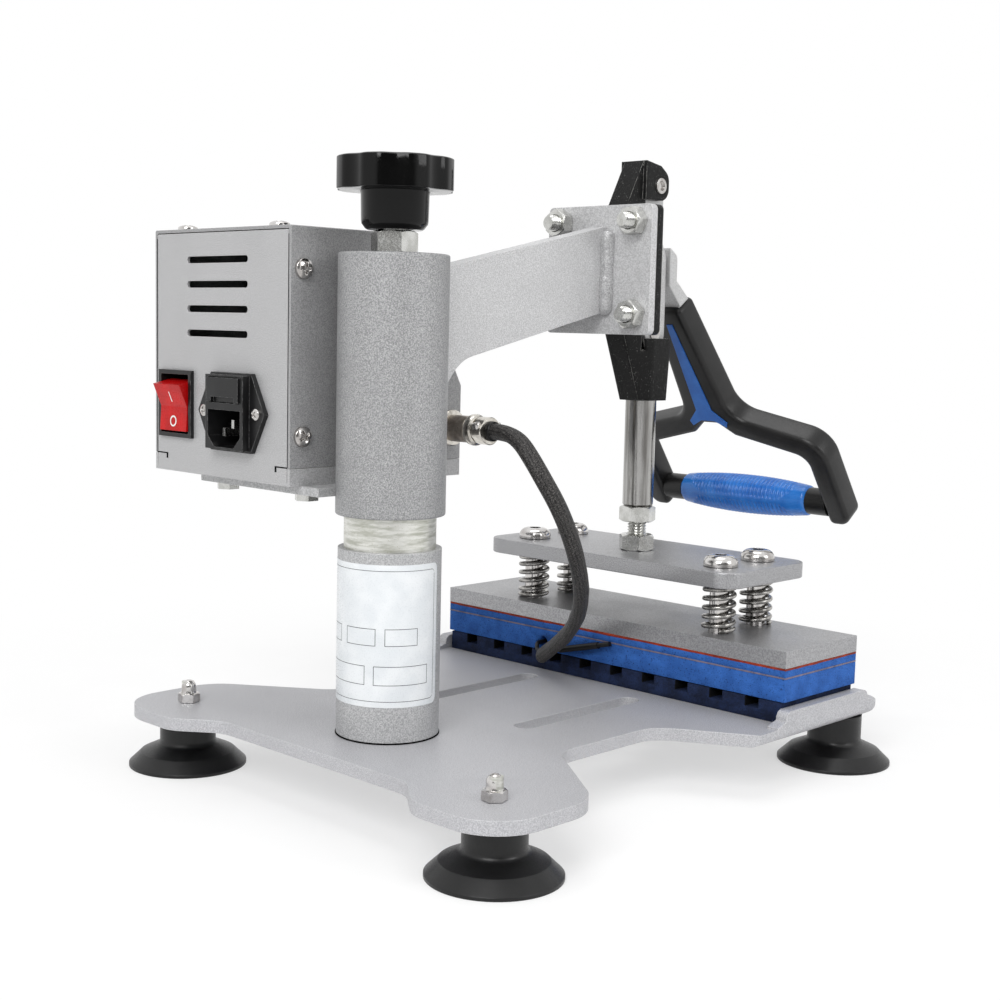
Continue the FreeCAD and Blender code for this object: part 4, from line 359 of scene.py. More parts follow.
def solid(name, verts, faces, finish, body, slot=None, smooth=True):
    """A mesh piece that rides on a body."""
    data = bpy.data.meshes.new(name)
    data.from_pydata([tuple(v) for v in verts], [], faces)
    data.validate()
    if smooth:
        data.polygons.foreach_set("use_smooth", [True] * len(data.polygons))
    data.update()
    thing = placed(name, data)
    data.materials.append(finish)
    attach(thing, body)
    return thing


def hide(node, *things):
    for thing in things:
        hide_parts(node)


def crease(thing, degrees):
    """Sharp shading along edges that turn by more than an angle."""
    thing.data.set_sharp_from_angle(angle=math.radians(degrees))
    return thing


def outward(thing, merge=False):
    """Turn a piece's faces outward."""
    mesh = bmesh.new()
    mesh.from_mesh(thing.data)
    if merge:
        bmesh.ops.remove_doubles(mesh, verts=mesh.verts, dist=1e-7)
    bmesh.ops.recalc_face_normals(mesh, faces=mesh.faces)
    mesh.to_mesh(thing.data)
    mesh.free()
    return thing


def grid_faces(rows, columns, closed_rows=False):
    """The faces of a grid that closes round its columns, or round its rows instead."""
    faces = []
    for i in range(rows if closed_rows else rows - 1):
        for j in range(columns - 1 if closed_rows else columns):
            a, b = i, (i + 1) % rows
            c, d = j, (j + 1) % columns
            faces.append((a * columns + c, a * columns + d, b * columns + d, b * columns + c))
    return faces


def tube_faces(rows, around):
    """The sides of a tube of rings, and its two ends."""
    return grid_faces(rows, around) + [
        tuple(range(around - 1, -1, -1)), tuple(range((rows - 1) * around, rows * around))]


def frames_along(path, up=UP):
    """Directions along and across a path, carried without twisting."""
    points = np.asarray(path, float)
    along = np.gradient(points, axis=0)
    along /= np.linalg.norm(along, axis=1)[:, None]
    side = np.cross(along[0], np.array(up, float))
    side /= np.linalg.norm(side)
    sides = []
    for direction in along:
        side = side - direction * np.dot(side, direction)
        side /= np.linalg.norm(side)
        sides.append(side)
    sides = np.array(sides)
    return points, along, sides, np.cross(along, sides)


def spline(name, route):
    """Points of a smooth line that a route's points control."""
    data = bpy.data.curves.new(name, "CURVE")
    data.dimensions = "3D"
    data.resolution_u = 40
    line = data.splines.new("NURBS")
    line.points.add(len(route) - 1)
    for spot, point in zip(line.points, route):
        spot.co = (*point, 1)
    line.order_u = 3
    line.use_endpoint_u = True
    thing = placed(name, data)
    bpy.context.view_layer.update()
    mesh = bpy.data.meshes.new_from_object(thing)
    points = [v.co.copy() for v in mesh.vertices]
    bpy.data.meshes.remove(mesh)
    bpy.data.objects.remove(thing)
    return points


def even(points, step):
    """The same line in equal steps."""
    spots = np.array(points, float)
    runs = np.linalg.norm(np.diff(spots, axis=0), axis=1)
    reach = np.concatenate([[0], np.cumsum(runs)])
    count = max(int(reach[-1] / step), 2)
    where = np.linspace(0, reach[-1], count + 1)
    return np.stack([np.interp(where, reach, spots[:, k]) for k in range(3)], 1), reach[-1]



def sweep(name, points, up, around, section, finish, slot):
    """A tube of the head along a path. section(ring, angle) gives places across it in mm."""
    path, _, side, lift = frames_along(points, up)
    verts = []
    for i, centre in enumerate(path):
        for j in range(around):
            x, y = section(i, TAU * j / around)
            verts.append(Vector(centre) + (Vector(side[i]) * x + Vector(lift[i]) * y) * MM)
    return solid(name, verts, tube_faces(len(path), around), finish, "head", slot)


# ---- turned pieces

def basis(axis, turn=0.0):
    """An axis and two directions across it."""
    axis = Vector(axis).normalized()
    start = Vector(UP) if abs(axis.z) < 0.9 else Vector((1, 0, 0))
    side = (start - axis * start.dot(axis)).normalized()
    lift = axis.cross(side)
    c, s = math.cos(turn), math.sin(turn)
    return axis, side * c + lift * s, lift * c - side * s


def rings(centre, axis, turn, rows, steps, shape):
    """Rings of points round an axis. shape(angle, row) gives radius and height in mm."""
    axis, side, lift = basis(axis, turn)
    verts = []
    for row in range(rows):
        for angle in (TAU * j / steps for j in range(steps)):
            r, h = shape(angle, row)
            verts.append(centre + (side * (r * math.cos(angle)) + lift * (r * math.sin(angle)) + axis * h) * MM)
    return verts


def turned(name, profile, centre, axis, finish, body, slot=None, steps=96, shape=None, turn=0.0, sharp=28):
    """A turned piece from (radius, height) in mm, which shape(angle, row, radius, height) may change."""
    def point(angle, row):
        return shape(angle, row, *profile[row]) if shape else profile[row]
    verts = rings(centre, axis, turn, len(profile), steps, point)
    thing = solid(name, verts, grid_faces(len(profile), steps), finish, body, slot)
    return crease(outward(thing, merge=True), sharp)


def hexagon(angle, flats):
    return flats / 2 / math.cos((angle + math.pi / 6) % (math.pi / 3) - math.pi / 6)


def nut(name, centre, axis, flats, height, bore, body, turn=0.0):
    """A plated hexagon nut with its corners cut back by a cone at both ends."""
    land, chamfer = flats / 2 * 0.95, 0.5

    def shape(angle, row, radius, level):
        corner = hexagon(angle, flats)
        drop = max(corner - land, 0) * 0.5
        return ((bore, 0), (bore + chamfer, 0), (land, 0), (corner, drop), (corner, height - drop), (land, height),
                (bore + chamfer, height), (bore, height - chamfer), (bore, 0))[row]
    return turned(name, [(0, 0)] * 9, centre, axis, ZINC, body, "zinc", 96, shape, turn, 24)


def thread(name, centre, axis, radius, length, pitch, body, tip=0.8, turn=0.0):
    """A plated threaded bar with a chamfered end."""
    around = 48
    rows = max(int(length / pitch * 10), 12)

    def ridge(angle, row):
        h = length * row / rows
        high = min(abs((h / pitch - angle / TAU) % 1 - 0.5) * 2 * 1.25, 1.0)
        return min(radius - pitch * 0.55 * (1 - high), radius - max(h - (length - tip), 0)), h
    verts = rings(centre, axis, turn, rows + 1, around, ridge)
    return crease(solid(name, verts, tube_faces(rows + 1, around), ZINC, body, "zinc"), 32)


def pan_head(name, centre, axis, radius, height, turn):
    """A stainless pan head with a cross recess pressed into it."""
    steps, rows = 120, 34
    crown, arm, wide = 0.8, 0.62, 0.17

    def shape(angle, row):
        t = row / (rows - 1)
        if t < crown:
            r = radius * 0.96 * (t / crown)
            h = height * (1 - 0.42 * (t / crown) ** 2.6)
        else:
            u = (t - crown) / 0.2
            r = radius * (0.96 + 0.04 * math.sin(u * math.pi / 2))
            h = height * 0.58 * (1 - u)
        near, far = sorted((abs(r * math.cos(angle) / radius), abs(r * math.sin(angle) / radius)))
        inside = min((wide - near) / 0.06, (arm - far) / 0.14, 1)
        if inside > 0 and t < crown:
            h -= height * 0.62 * inside * (1 - far / arm * 0.45)
        return r, h
    verts = rings(centre, axis, turn, rows, steps, shape)
    return crease(solid(name, verts, grid_faces(rows, steps), BRIGHT, "head", "bright_steel"), 40)


# ---- the heater cable

CABLE_ROUTE = [(-4.3, -61, 167.5), (-13.4, -61, 167.5), (-23.3, -59.8, 164.3), (-32.4, -58.4, 156.6),
               (-38.7, -60.5, 146.7), (-42.3, -66.5, 135.1), (-42, -75.2, 121.7), (-38.1, -85.8, 107.3),
               (-30.9, -98, 92.6), (-20, -110.5, 78.3), (-4.8, -122.2, 64.7), (13.9, -132.8, 52.2),
               (34, -142.3, 41)]


def braid():
    """Black braided sleeve: darker where the weave sinks, as painted shade, with pale broken strands."""
    f = Finish("black_braid", Metallic=0.0, Specular_IOR_Level=0.3, Sheen_Weight=0.05)
    tone = f.noise(0.35, 3, 0.7)
    weave_shade = f.add("ShaderNodeAttribute", attribute_name="weave_shade").outputs["Fac"]
    # painted shade: the colour goes to black where the weave sinks
    f.ground(weave_shade, 0.4, 0.95, 4, (50, 48, 47))
    f.over(f.ramp(tone, 0.54, 0.64), 0.6, (150, 146, 143))
    return f.done(f.ramp(tone, 0.3, 0.7, 0.5, 0.66), tone, 0.05, 0.6)


BRAID = braid()


def heater_cable():
    """The flattened braid: strands cross over and under round an oval section."""
    path, length = even(spline("cable_line", [at(*point) for point in CABLE_ROUTE]), 0.42 * MM)
    strands, lay = 14, 15 * MM
    weave_shade = []

    def section(i, angle):
        s = length * i / (len(path) - 1)
        rounder = max(0, 1 - s / (14 * MM))
        wobble = 0.12 * math.sin(s * 210) + 0.08 * math.sin(s * 467 + 1)
        turn = s / lay * TAU
        a, b = math.cos(strands * (angle + turn) / 2), math.cos(strands * (angle - turn) / 2)
        weave = 0.5 + 0.5 * math.copysign(abs(a * b) ** 0.6, a * b)
        ridge = max(abs(a), abs(b))
        # painted shade: a level per point, low where the weave sinks, that darkens the braid
        weave_shade.append(0.35 + 0.65 * weave * ridge)
        height = 0.16 * ridge + 0.05 * weave
        lean = angle + 0.35 * math.sin(s * 22)
        return ((4.55 - 0.55 * rounder + wobble + height) * math.cos(lean),
                (3.55 + 0.35 * rounder - wobble + height) * math.sin(lean))
    thing = sweep("heater_cable_braid", path, UP, 112, section, BRAID, "black_braid")
    layer = thing.data.attributes.new("weave_shade", "FLOAT", "POINT")
    layer.data.foreach_set("value", np.array(weave_shade, np.float32))
    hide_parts("heater_cable")
    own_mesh(thing)


heater_cable()


# ---- sponge pads

def rounded(corners, radius, step):
    """An outline in mm with rounded corners and even points along its sides."""
    points = []
    count = len(corners)
    for k in range(count):
        here = np.array(corners[k], float)
        back = np.array(corners[k - 1], float) - here
        on = np.array(corners[(k + 1) % count], float) - here
        size = min(radius, np.linalg.norm(back) * 0.4, np.linalg.norm(on) * 0.4)
        start = here + back / np.linalg.norm(back) * size
        stop = here + on / np.linalg.norm(on) * size
        for t in (0, 0.25, 0.5, 0.75, 1):
            points.append(start * (1 - t) ** 2 + here * 2 * t * (1 - t) + stop * t * t)
        after = np.array(corners[(k + 1) % count], float) - on / np.linalg.norm(on) * size
        run = np.linalg.norm(after - stop)
        pieces = max(int(run / step), 1)
        points += [stop + (after - stop) * i / pieces for i in range(1, pieces)]
    return np.array(points)


def inward(points):
    """Unit directions into a counter-clockwise outline."""
    along = np.roll(points, -1, 0) - np.roll(points, 1, 0)
    along /= np.maximum(np.linalg.norm(along, axis=1), 1e-9)[:, None]
    return np.stack([-along[:, 1], along[:, 0]], 1)


def slab(node, corners, finish, body, slot, ease, step, rough, seed):
    """A sponge bar in a node's place: an outline in X and Z, run along Y. The mat hangs in waves."""
    low, high, _ = extent(node)
    start, stop = low.y, high.y
    outline = rounded(corners, ease, step)
    into = inward(outline)
    count = max(int((stop - start - 2 * ease) / 3), 2)
    runs = [start, start + ease * 0.3, start + ease]
    runs += [start + ease + (stop - start - 2 * ease) * i / count for i in range(1, count)]
    runs += [stop - ease, stop - ease * 0.3, stop]
    insets = [ease * 0.55, ease * 0.16] + [0] * (len(runs) - 4) + [ease * 0.16, ease * 0.55]
    verts = []
    for y, inset in zip(runs, insets):
        for point, way in zip(outline, into):
            lump = noise.noise(Vector((point[0] * 0.11, y * 0.11 + seed, point[1] * 0.11)))
            fine = noise.noise(Vector((point[0] * 0.7, y * 0.7 - seed, point[1] * 0.7)))
            spot = point + way * (inset + rough * (0.5 + 0.6 * lump + 0.4 * fine))
            if node == "heater_mat" and point[1] < low.z + 0.4:
                spot[1] -= 0.55 * max(noise.noise(Vector((point[0] * 0.09, y * 0.09, 3))) + 0.15, 0)
            verts.append(at(spot[0], y, spot[1]))
    thing = solid(node + "_sponge", verts, tube_faces(len(runs), len(outline)), finish, body, slot)
    crease(outward(thing), 50)
    hide(node, thing)
    return thing


UPPER_SPONGE = sponge("blue_sponge", (54, 105, 184), (42, 88, 160), (14, 30, 66), 0.8, 0.3)
# painted shade: the lower pad takes a darker copy of the blue sponge
LOWER_SPONGE = sponge("shaded_blue_sponge", (30, 44, 78), (16, 25, 48), (9, 14, 28), grooves=112)
SILICONE = sponge("orange_silicone", (164, 58, 30), (112, 36, 22), (70, 26, 24), 0.5, 0.1, 0.6)
PINK = sponge("pink_glue_sheet", (134, 124, 140), (92, 92, 116), (58, 66, 100), 0.4, 0.06, 0.6)


def pads():
    """The sandwich under the press plate, and the grooved lower pad."""
    layers = (("backing_foam", UPPER_SPONGE, "blue_sponge", 0.06, 0.3),
              ("glue_sheet", PINK, "pink_sheet", 0, 0.15),
              ("upper_pad", UPPER_SPONGE, "blue_sponge", 0.07, 0.4),
              ("heater_mat", SILICONE, "red_silicone", 0, 0.2))
    made = {}
    for number, (node, finish, slot, rough, ease) in enumerate(layers):
        low, high, _ = extent(node)
        corners = [(low.x, low.z), (high.x, low.z), (high.x, high.z), (low.x, high.z)]
        made[node] = slab(node, corners, finish, "platen", slot, ease, 1.6, rough, 7.3 * number)
    low, high, (centre, _, _) = extent("lower_pad")
    corners = [(low.x, low.z), (high.x, low.z), (high.x, high.z)]
    grooves, pitch, half, depth = 10, 21.5, 3.75, 5
    for k in range(grooves - 1, -1, -1):
        x = centre + pitch * (k - (grooves - 1) / 2)
        corners += [(x + half, high.z), (x + half, high.z - depth), (x - half, high.z - depth), (x - half, high.z)]
    corners.append((low.x, high.z))
    slab("lower_pad", corners, LOWER_SPONGE, "base", "dark_sponge", 0.5, 1.4, 0.08, 31)
    return made


def bore(thing, centre, axis, radius, depth):
    """A round hole cut in a piece."""
    cutter = turned("cutter", [(0, 0), (radius, 0), (radius, depth), (0, depth)], centre, axis, RUBBER, "head",
                    steps=40)
    change = thing.modifiers.new("bore", "BOOLEAN")
    change.operation = "DIFFERENCE"
    change.object = cutter
    change.solver = "EXACT"
    bpy.context.view_layer.update()
    data = bpy.data.meshes.new_from_object(thing.evaluated_get(bpy.context.evaluated_depsgraph_get()))
    thing.modifiers.clear()
    thing.data = data
    bpy.data.objects.remove(cutter)


SANDWICH = pads()
bore(SANDWICH["upper_pad"], at(41.6, extent("upper_pad")[1].y + 1, 45.7), (0, -1, 0), 3.4, 9)


# ---- knob and jam nut

KNOB_RIM = 26.6


def flute(angle):
    """How far the knob's rim is drawn in at an angle."""
    lobes, radius, bite = 8, 14.0, 1.8
    reach = KNOB_RIM - bite + radius
    step = TAU / lobes
    total = 0
    for shift in (-0.05, -0.025, 0, 0.025, 0.05):
        off = (angle + shift + step / 2) % step - step / 2
        inside = radius * radius - (reach * math.sin(off)) ** 2
        if inside > 0:
            total += max(KNOB_RIM - (reach * math.cos(off) - math.sqrt(inside)), 0) / 5
    return total


def knob():
    """The knob with eight lobes, and the jam nut under it."""
    profile = [(0, 1), (6.5, 1), (7.5, 0), (12.4, 0), (13.2, 0.5), (14.8, 2.6), (15.05, 4), (15.3, 15.4),
               (15.6, 16.8), (16.2, 17), (21, 17.02), (25.8, 17.05), (26.35, 17.15), (26.58, 17.4), (KNOB_RIM, 20),
               (KNOB_RIM, 25), (KNOB_RIM, 30.4), (26.45, 30.9), (26.0, 31.25), (23.6, 31.7), (19, 32.1),
               (10, 32.4), (0, 32.5)]
    hub = 17.5

    def shape(angle, row, radius, level):
        return radius - flute(angle) * min(max(radius - hub, 0) / 7.0, 1), level
    hide("pressure_knob", turned("fluted_knob", profile, foot("pressure_knob"), UP, KNOB, "knob",
                                 "knob_black", 288, shape, 0.05, 32))
    hide("jam_nut", nut("jam_nut_hex", foot("jam_nut"), UP, 18.6, 10, 6.05, "head", 0.087))


knob()


# ---- nuts, bolts and studs

def plate_fastenings():
    """Bolts of the arm's plate: heads in front, nuts and threaded ends behind."""
    rear = extent("mounting_plate")[1].y
    front = extent("toggle_frame")[1].y - 4.7
    button = [(0, -1.6), (2.4, -1.6), (2.5, 4.1), (3.2, 4.4), (4.6, 4.1), (6, 3.1), (6.8, 1.6), (7, 0.3), (6.8, 0),
              (4, 0), (4, -13)]
    spots = ((-24.5, 225, 0.25), (24.5, 225, -0.35), (-24.5, 271, 0.1), (24.5, 271, 0.5))
    bolts, nuts = [], []
    for number, (x, z, turn) in enumerate(spots):
        nuts.append(nut("plate_nut_%d" % number, at(x, rear, z), BACK, 13, 6.7, 4.05, "head", turn))
        bolts.append(thread("plate_bolt_end_%d" % number, at(x, rear + 5.2, z), BACK, 4, 6.6, 1.25, "head",
                            turn=turn * 3))
        bolts.append(turned("plate_bolt_head_%d" % number, button, at(x, front, z), (0, -1, 0), BRIGHT, "head",
                            "bright_steel", 72))
    hide("mounting_nuts", *nuts)
    hide("mounting_bolts", *bolts)


def height_stud():
    """The stud between the plunger and the spring plate, with its two nuts."""
    low, high, (_, y, _) = extent("stud_nuts")
    flats, height = 17, 8.4
    hide("stud_nuts", nut("stud_nut_lower", at(0, y, low.z), UP, flats, height, 5.05, "plunger", -0.206),
         nut("stud_nut_upper", at(0, y, high.z - height), UP, flats, height, 5.05, "plunger", 0.32))
    reach = high.z + 2 - extent("height_stud")[0].z
    hide("height_stud", thread("height_stud_thread", foot("height_stud", y), UP, 5, reach, 1.5, "plunger", 0.1))


def panel_screws():
    """Cross-headed screws on the box's sides and top, and at the inlet."""
    low, high, (middle, _, _) = extent("box_cover")
    heads = []
    for name, side, x in (("l", -1, low.x), ("r", 1, high.x)):
        for number, z in enumerate((166, 241)):
            heads.append(("side_screw_%s_%d" % (name, number), at(x, 29, z), (side, 0, 0), 4.8, 2.6, 0.5 + number))
    for side in (-1, 1):
        heads.append(("top_screw_%d" % (side + 1), at(middle + 36 * side, 29, high.z), UP, 4.8, 2.6, 0.9 * side))
        heads.append(("inlet_screw_%d" % (side + 1), at(69 + 20 * side, 38.6, 175), BACK, 2.9, 1.8, 0.4 + side))
    hide("box_screws", *[pan_head(*head) for head in heads])


plate_fastenings()
height_stud()
panel_screws()


# ---- sheet metal seams

def strip(name, a, b, wide):
    """A thin dark bar along a joint of the box, from a to b in mm."""
    deep = 0.12
    points, _, side, lift = frames_along([at(*a), at(*b)], BACK)
    verts = []
    for spot, across, up in zip(points, side, lift):
        for p, q in ((-1, -1), (1, -1), (1, 1), (-1, 1)):
            verts.append(Vector(spot) + (Vector(across) * p * wide / 2 + Vector(up) * q * deep / 2) * MM)
    solid(name, verts, tube_faces(2, 4), SEAM, "head", smooth=False)


def seams():
    """The folds of the box's rear wall, with a relief notch at each lower corner."""
    low, high, _ = extent("box_chassis")
    back, notch = high.y + 0.02, low.z + 8.4
    for side, x, inner in ((0, low.x + 1.5, 8.5), (1, high.x - 1.5, -8.5)):
        strip("fold_seam_%d" % side, (x, back, notch), (x, back, high.z - 2), 0.4)
        strip("notch_line_%d" % side, (x, back, notch), (x + inner, back, notch), 0.6)
        strip("notch_end_%d" % side, (x + inner, back, low.z + 8.7), (x + inner, back, low.z + 5.9), 1.3)


seams()


# ---- weld beads

def weld(name, route, size, seed, up):
    """A painted weld bead, half sunk in its joint, with soft ripples."""
    path, length = even([at(*point) for point in route], 0.7 * MM)

    def section(i, angle):
        s = length * i / (len(path) - 1) / MM
        end = min(1, (min(s, length / MM - s) + 0.6) / 3)
        swell = 1 + 0.012 * math.sin(s * 1.9 + math.sin(s * 0.7 + seed))
        swell += 0.1 * noise.noise(Vector((s * 0.12, seed, 0)))
        lump = 0.05 * noise.noise(Vector((math.cos(angle) * 1.5, math.sin(angle) * 1.5, s * 0.4 + seed)))
        radius = size * end ** 0.5 * (swell + lump)
        return radius * math.cos(angle), radius * math.sin(angle)
    sweep(name, path, up, 20, section, WELD, "grey_paint")


def welds():
    """Beads at the arm's ends, and a thin dark ring that paints the shadow of the gap at the tube's foot."""
    plate = extent("mounting_plate")[1].y + 0.2
    level, upright = (0.3, 0.2, 1), (1, 0.2, 0)
    for side in (-1, 1):
        weld("arm_plate_weld_%d" % (side + 1), [(6.4 * side, plate, 224.5), (6.4 * side, plate, 267)], 4.3,
             3.0 + side, upright)
        x, reach = 5.0 * side, -math.sqrt(25 ** 2 - 25)
        weld("arm_sleeve_weld_%d" % (side + 1), [(x, reach - 0.3, 186), (x, reach - 0.3, 240)], 1.7, 8 + side,
             upright)
    weld("arm_plate_weld_top", [(-5, plate, 267.2), (5, plate, 267.2)], 2.0, 5, level)
    # painted shadow: a thin dark ring at the tube's foot
    turned("tube_foot_shadow_ring", [(23.2, 0), (24.0, 0), (24.05, 0.35), (23.9, 0.7), (23.2, 0.7)],
           foot("lower_tube"), UP, SEAM, "base")


welds()


# ---- handle fork, spring plate and springs

def arcs(corners):
    """An outline in mm from corners (across, up, radius), each rounded by its own arc."""
    points = []
    count = len(corners)
    for k, (across, up, radius) in enumerate(corners):
        here = np.array((across, up), float)
        back = np.array(corners[k - 1][:2], float) - here
        on = np.array(corners[(k + 1) % count][:2], float) - here
        reach = [np.linalg.norm(back), np.linalg.norm(on)]
        back, on = back / reach[0], on / reach[1]
        half = math.acos(np.clip(np.dot(back, on), -1, 1)) / 2
        size = min(radius, 0.49 * min(reach) * math.tan(half))
        centre = here + (back + on) / np.linalg.norm(back + on) * size / math.sin(half)
        start, stop = here + back * size / math.tan(half), here + on * size / math.tan(half)
        first = math.atan2(*(start - centre)[::-1])
        turn = (math.atan2(*(stop - centre)[::-1]) - first + math.pi) % (2 * math.pi) - math.pi
        steps = max(int(abs(turn) * size / 0.7), 3)
        points += [centre + size * np.array((math.cos(first + turn * i / steps), math.sin(first + turn * i / steps)))
                   for i in range(steps + 1)]
    return np.array(points)


def rounded_plate(name, corners, depth, ease, place, finish, body, slot):
    """A thick plate with rims rounded on both faces."""
    outline = arcs(corners)
    into = inward(outline)
    quarter = [math.pi / 2 * k / 5 for k in range(6)]
    rows = [(ease * (1 - math.sin(a)), ease * (1 - math.cos(a))) for a in quarter]
    rows += [(inset, depth - back) for inset, back in reversed(rows)]
    verts = [place(*(point + way * inset), back) for inset, back in rows for point, way in zip(outline, into)]
    return crease(outward(solid(name, verts, tube_faces(len(rows), len(outline)), finish, body, slot)), 42)


def fork():
    """The forked handle: a stem that parts into two legs, leaned towards the user."""
    tilt = math.radians(35.9)
    c, s = math.cos(tilt), math.sin(tilt)

    def place(across, up, back):
        return at(across, -229 - c * back + s * up, 180 + s * back + c * up)
    half = [(9.5, 59, 3.4), (15.3, -13, 15), (69.4, -27.6, 17), (69.4, -85, 9), (56.4, -85, 3.6),
            (56.4, -37.9, 9), (14, -25.8, 3.6), (5, -18, 3.4)]
    mirror = [(-across, up, radius) for across, up, radius in reversed(half)]
    thickness = 15
    thing = rounded_plate("handle_fork_moulding", (half + mirror)[::-1], thickness, 2.8, place, HANDLE, "handle",
                          "handle_black")
    for level in (51, 37):
        bore(thing, place(0, level, thickness + 1), Vector((0, c, -s)), 4.4, 4)
    hide("handle_fork", crease(thing, 42))


def pressing_plate():
    """The spring plate, with broad corners and worn rims."""
    low, high, _ = extent("spring_plate")
    corner = 11
    corners = [(low.x, low.y, corner), (high.x, low.y, corner), (high.x, high.y, corner), (low.x, high.y, corner)]

    def place(across, back, up):
        return at(across, back, low.z + up)
    hide("spring_plate", rounded_plate("spring_plate_steel", corners, high.z - low.z, 0.6, place, PLATE, "plunger",
                                       "plate_paint"))


def coils():
    """Four springs with closed ends, carried on the platen."""
    low, high, (middle_x, middle_y, _) = extent("springs")
    wire, radius, turns, closed = 1.16, 7.55, 5.7, 0.8
    coil = 8.7
    spread, pitch = (high.x - low.x) / 2 - coil, (high.y - low.y) / 2 - coil
    bottom, top = low.z + wire, high.z - wire
    shut = 2.05 * wire * closed
    rows, around = int(turns * 40), 14
    things = []
    for number, (sx, sy) in enumerate(((1, 1), (1, -1), (-1, 1), (-1, -1))):
        x, y = middle_x + sx * spread, middle_y + sy * pitch
        verts = []
        for i in range(rows + 1):
            t = turns * i / rows
            z = np.interp(t, (0, closed, turns - closed, turns), (bottom, bottom + shut, top - shut, top))
            a = TAU * t + number * 1.1
            for j in range(around):
                b = TAU * j / around
                r = radius + wire * math.cos(b)
                verts.append(at(x + r * math.cos(a), y + r * math.sin(a), z + wire * math.sin(b)))
        coil_spring = solid("coil_spring_%d" % number, verts, tube_faces(rows + 1, around), SPRING, "platen",
                            "spring_steel")
        things.append(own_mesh(coil_spring))
    hide("springs", *things)


fork()
pressing_plate()
coils()


# ---- acorn nuts

def acorn_nuts():
    """Domed nuts on the rear studs."""
    low, high, (_, y, _) = extent("acorn_nuts")
    flats = 9.4

    def shape(angle, row, radius, level):
        corner = hexagon(angle, flats)
        if row in (1, 2):
            return corner, level + (0 if row == 1 else -max(corner - flats / 2, 0) * 0.8)
        return radius, level
    dome = [(3.55 * math.cos(a), 7.4 + 3.6 * math.sin(a)) for a in (math.pi / 2 * k / 12 for k in range(13))]
    profile = [(4.2, 0), (0, 0.3), (0, 4.4), (4.45, 4.4), (3.8, 4.7), (3.6, 5.3), (3.55, 6.4)] + dome
    hide("acorn_nuts", *[turned("acorn_nut_%d" % number, profile, at(x, y, low.z), UP, BRIGHT, "base", "zinc", 96,
                                shape, 0.35 + number, 30) for number, x in enumerate((low.x + 5.8, high.x - 5.8))])


acorn_nuts()


# ---- handle grip

def grip():
    """A soft sleeve with two bands of fine cross ribs and smooth ends."""
    low, high, (_, y, z) = extent("handle_grip")
    length = high.x - low.x
    rows, end, ribs = 640, 5.2, 2.55
    profile = []
    for i in range(rows + 1):
        t = i / rows
        u = abs((t - 0.5) * 2)
        lip = max(u - 0.955, 0) / 0.045
        profile.append((8.4 + 2.9 * (1 - u ** 2.1) - 1.1 * lip * lip, length * t))
    reach = length / 2 - 7.5

    def shape(angle, row, radius, level):
        along = level - length / 2
        turn = (angle - 1.41) % math.pi
        wide = abs(turn - math.pi / 2) / (math.pi / 2)
        tip = max(abs(along) - (reach - 9), 0) / 9
        inside = min((0.93 - wide - 0.5 * tip ** 1.5) / 0.06, (reach - abs(along)) / 0.8, 1)
        if inside <= 0:
            return radius, level
        groove = 0.5 - 0.5 * math.cos(TAU * along / ribs)
        return radius - 0.8 * (1 - groove ** 0.7) * inside, level
    hide("handle_grip", turned("ribbed_grip", [(end, 0)] + profile + [(end, length)], at(low.x, y, z), (1, 0, 0),
                               GRIP, "handle", "soft_blue", 96, shape, 0, 60))


GRIP = plastic("grip_blue", (48, 122, 206), (36, 104, 188), 0.2, 0.006, 0.4)
grip()


# ---- cable plug

def plug():
    """The plug: flange, dark barrel, flared collar, and a screwed clamp on the cable."""
    _, high, (_, y, z) = extent("cable_plug")

    def ears(angle, row, radius, level):
        return radius + 1.1 * max(abs(math.sin(angle)) - 0.84, 0) / 0.16 * (radius > 5), level
    rings = (("plug_flange", NICKEL, "nickel", 96,
              [(6.2, -0.2), (8.5, 0), (8.9, 0.4), (8.9, 1.7), (8.4, 2.3), (7.0, 2.5), (6.2, 2.5)]),
             ("plug_barrel", BARREL, "nickel", 96, [(5, 2.3), (6.5, 2.4), (6.55, 14.9), (6.3, 15.3)]),
             ("plug_collar", NICKEL, "nickel", 96,
              [(6.0, 15.0), (6.9, 15.1), (7.6, 16.4), (7.7, 18.2), (7.2, 19.4), (6.2, 20.2), (4.8, 20.4)]),
             ("plug_throat", SHRINK, "black_wire", 64, [(4.9, 20.2), (5.0, 21.6)]),
             ("cable_clamp", NICKEL, "nickel", 96,
              [(4.5, 21.4), (6.3, 21.5), (6.7, 21.9), (6.7, 27.7), (6.3, 28.1), (4.5, 28.2)]),
             ("cable_sleeve", SHRINK, "black_wire", 64,
              [(4.6, 28.0), (4.9, 28.4), (4.8, 30.2), (4.4, 30.7)]))
    things = [turned(name, profile, at(high.x, y, z), (-1, 0, 0), finish, "head", slot, steps,
                     *((ears, 0, 30) if name == "cable_clamp" else ()))
              for name, finish, slot, steps, profile in rings]
    screw = [(0, 0.2), (1.2, 0.2), (1.25, 0.9), (1.9, 1.0), (2.1, 0.5), (2.1, -1.6)]
    things += [turned("clamp_screw_%d" % number, screw, at(high.x - 24.8, y + 6.9 * side, z + 3.0),
                      (0, 0.25 * side, 0.97), BRIGHT, "head", "bright_steel", 40)
               for number, side in enumerate((1, -1))]
    hide("cable_plug", *things)


plug()


# ---- the blank label

LABEL = 23.65  # its radius on the tube
LEFT, RIGHT, BOTTOM, TOP = 8.0, 202.0, 47.6, 111.8  # the label's ends in degrees, then in mm
PER_MM = math.degrees(1 / LABEL)


def on_tube(radius, degrees, z):
    a = math.radians(degrees)
    return at(radius * math.cos(a), radius * math.sin(a), z)


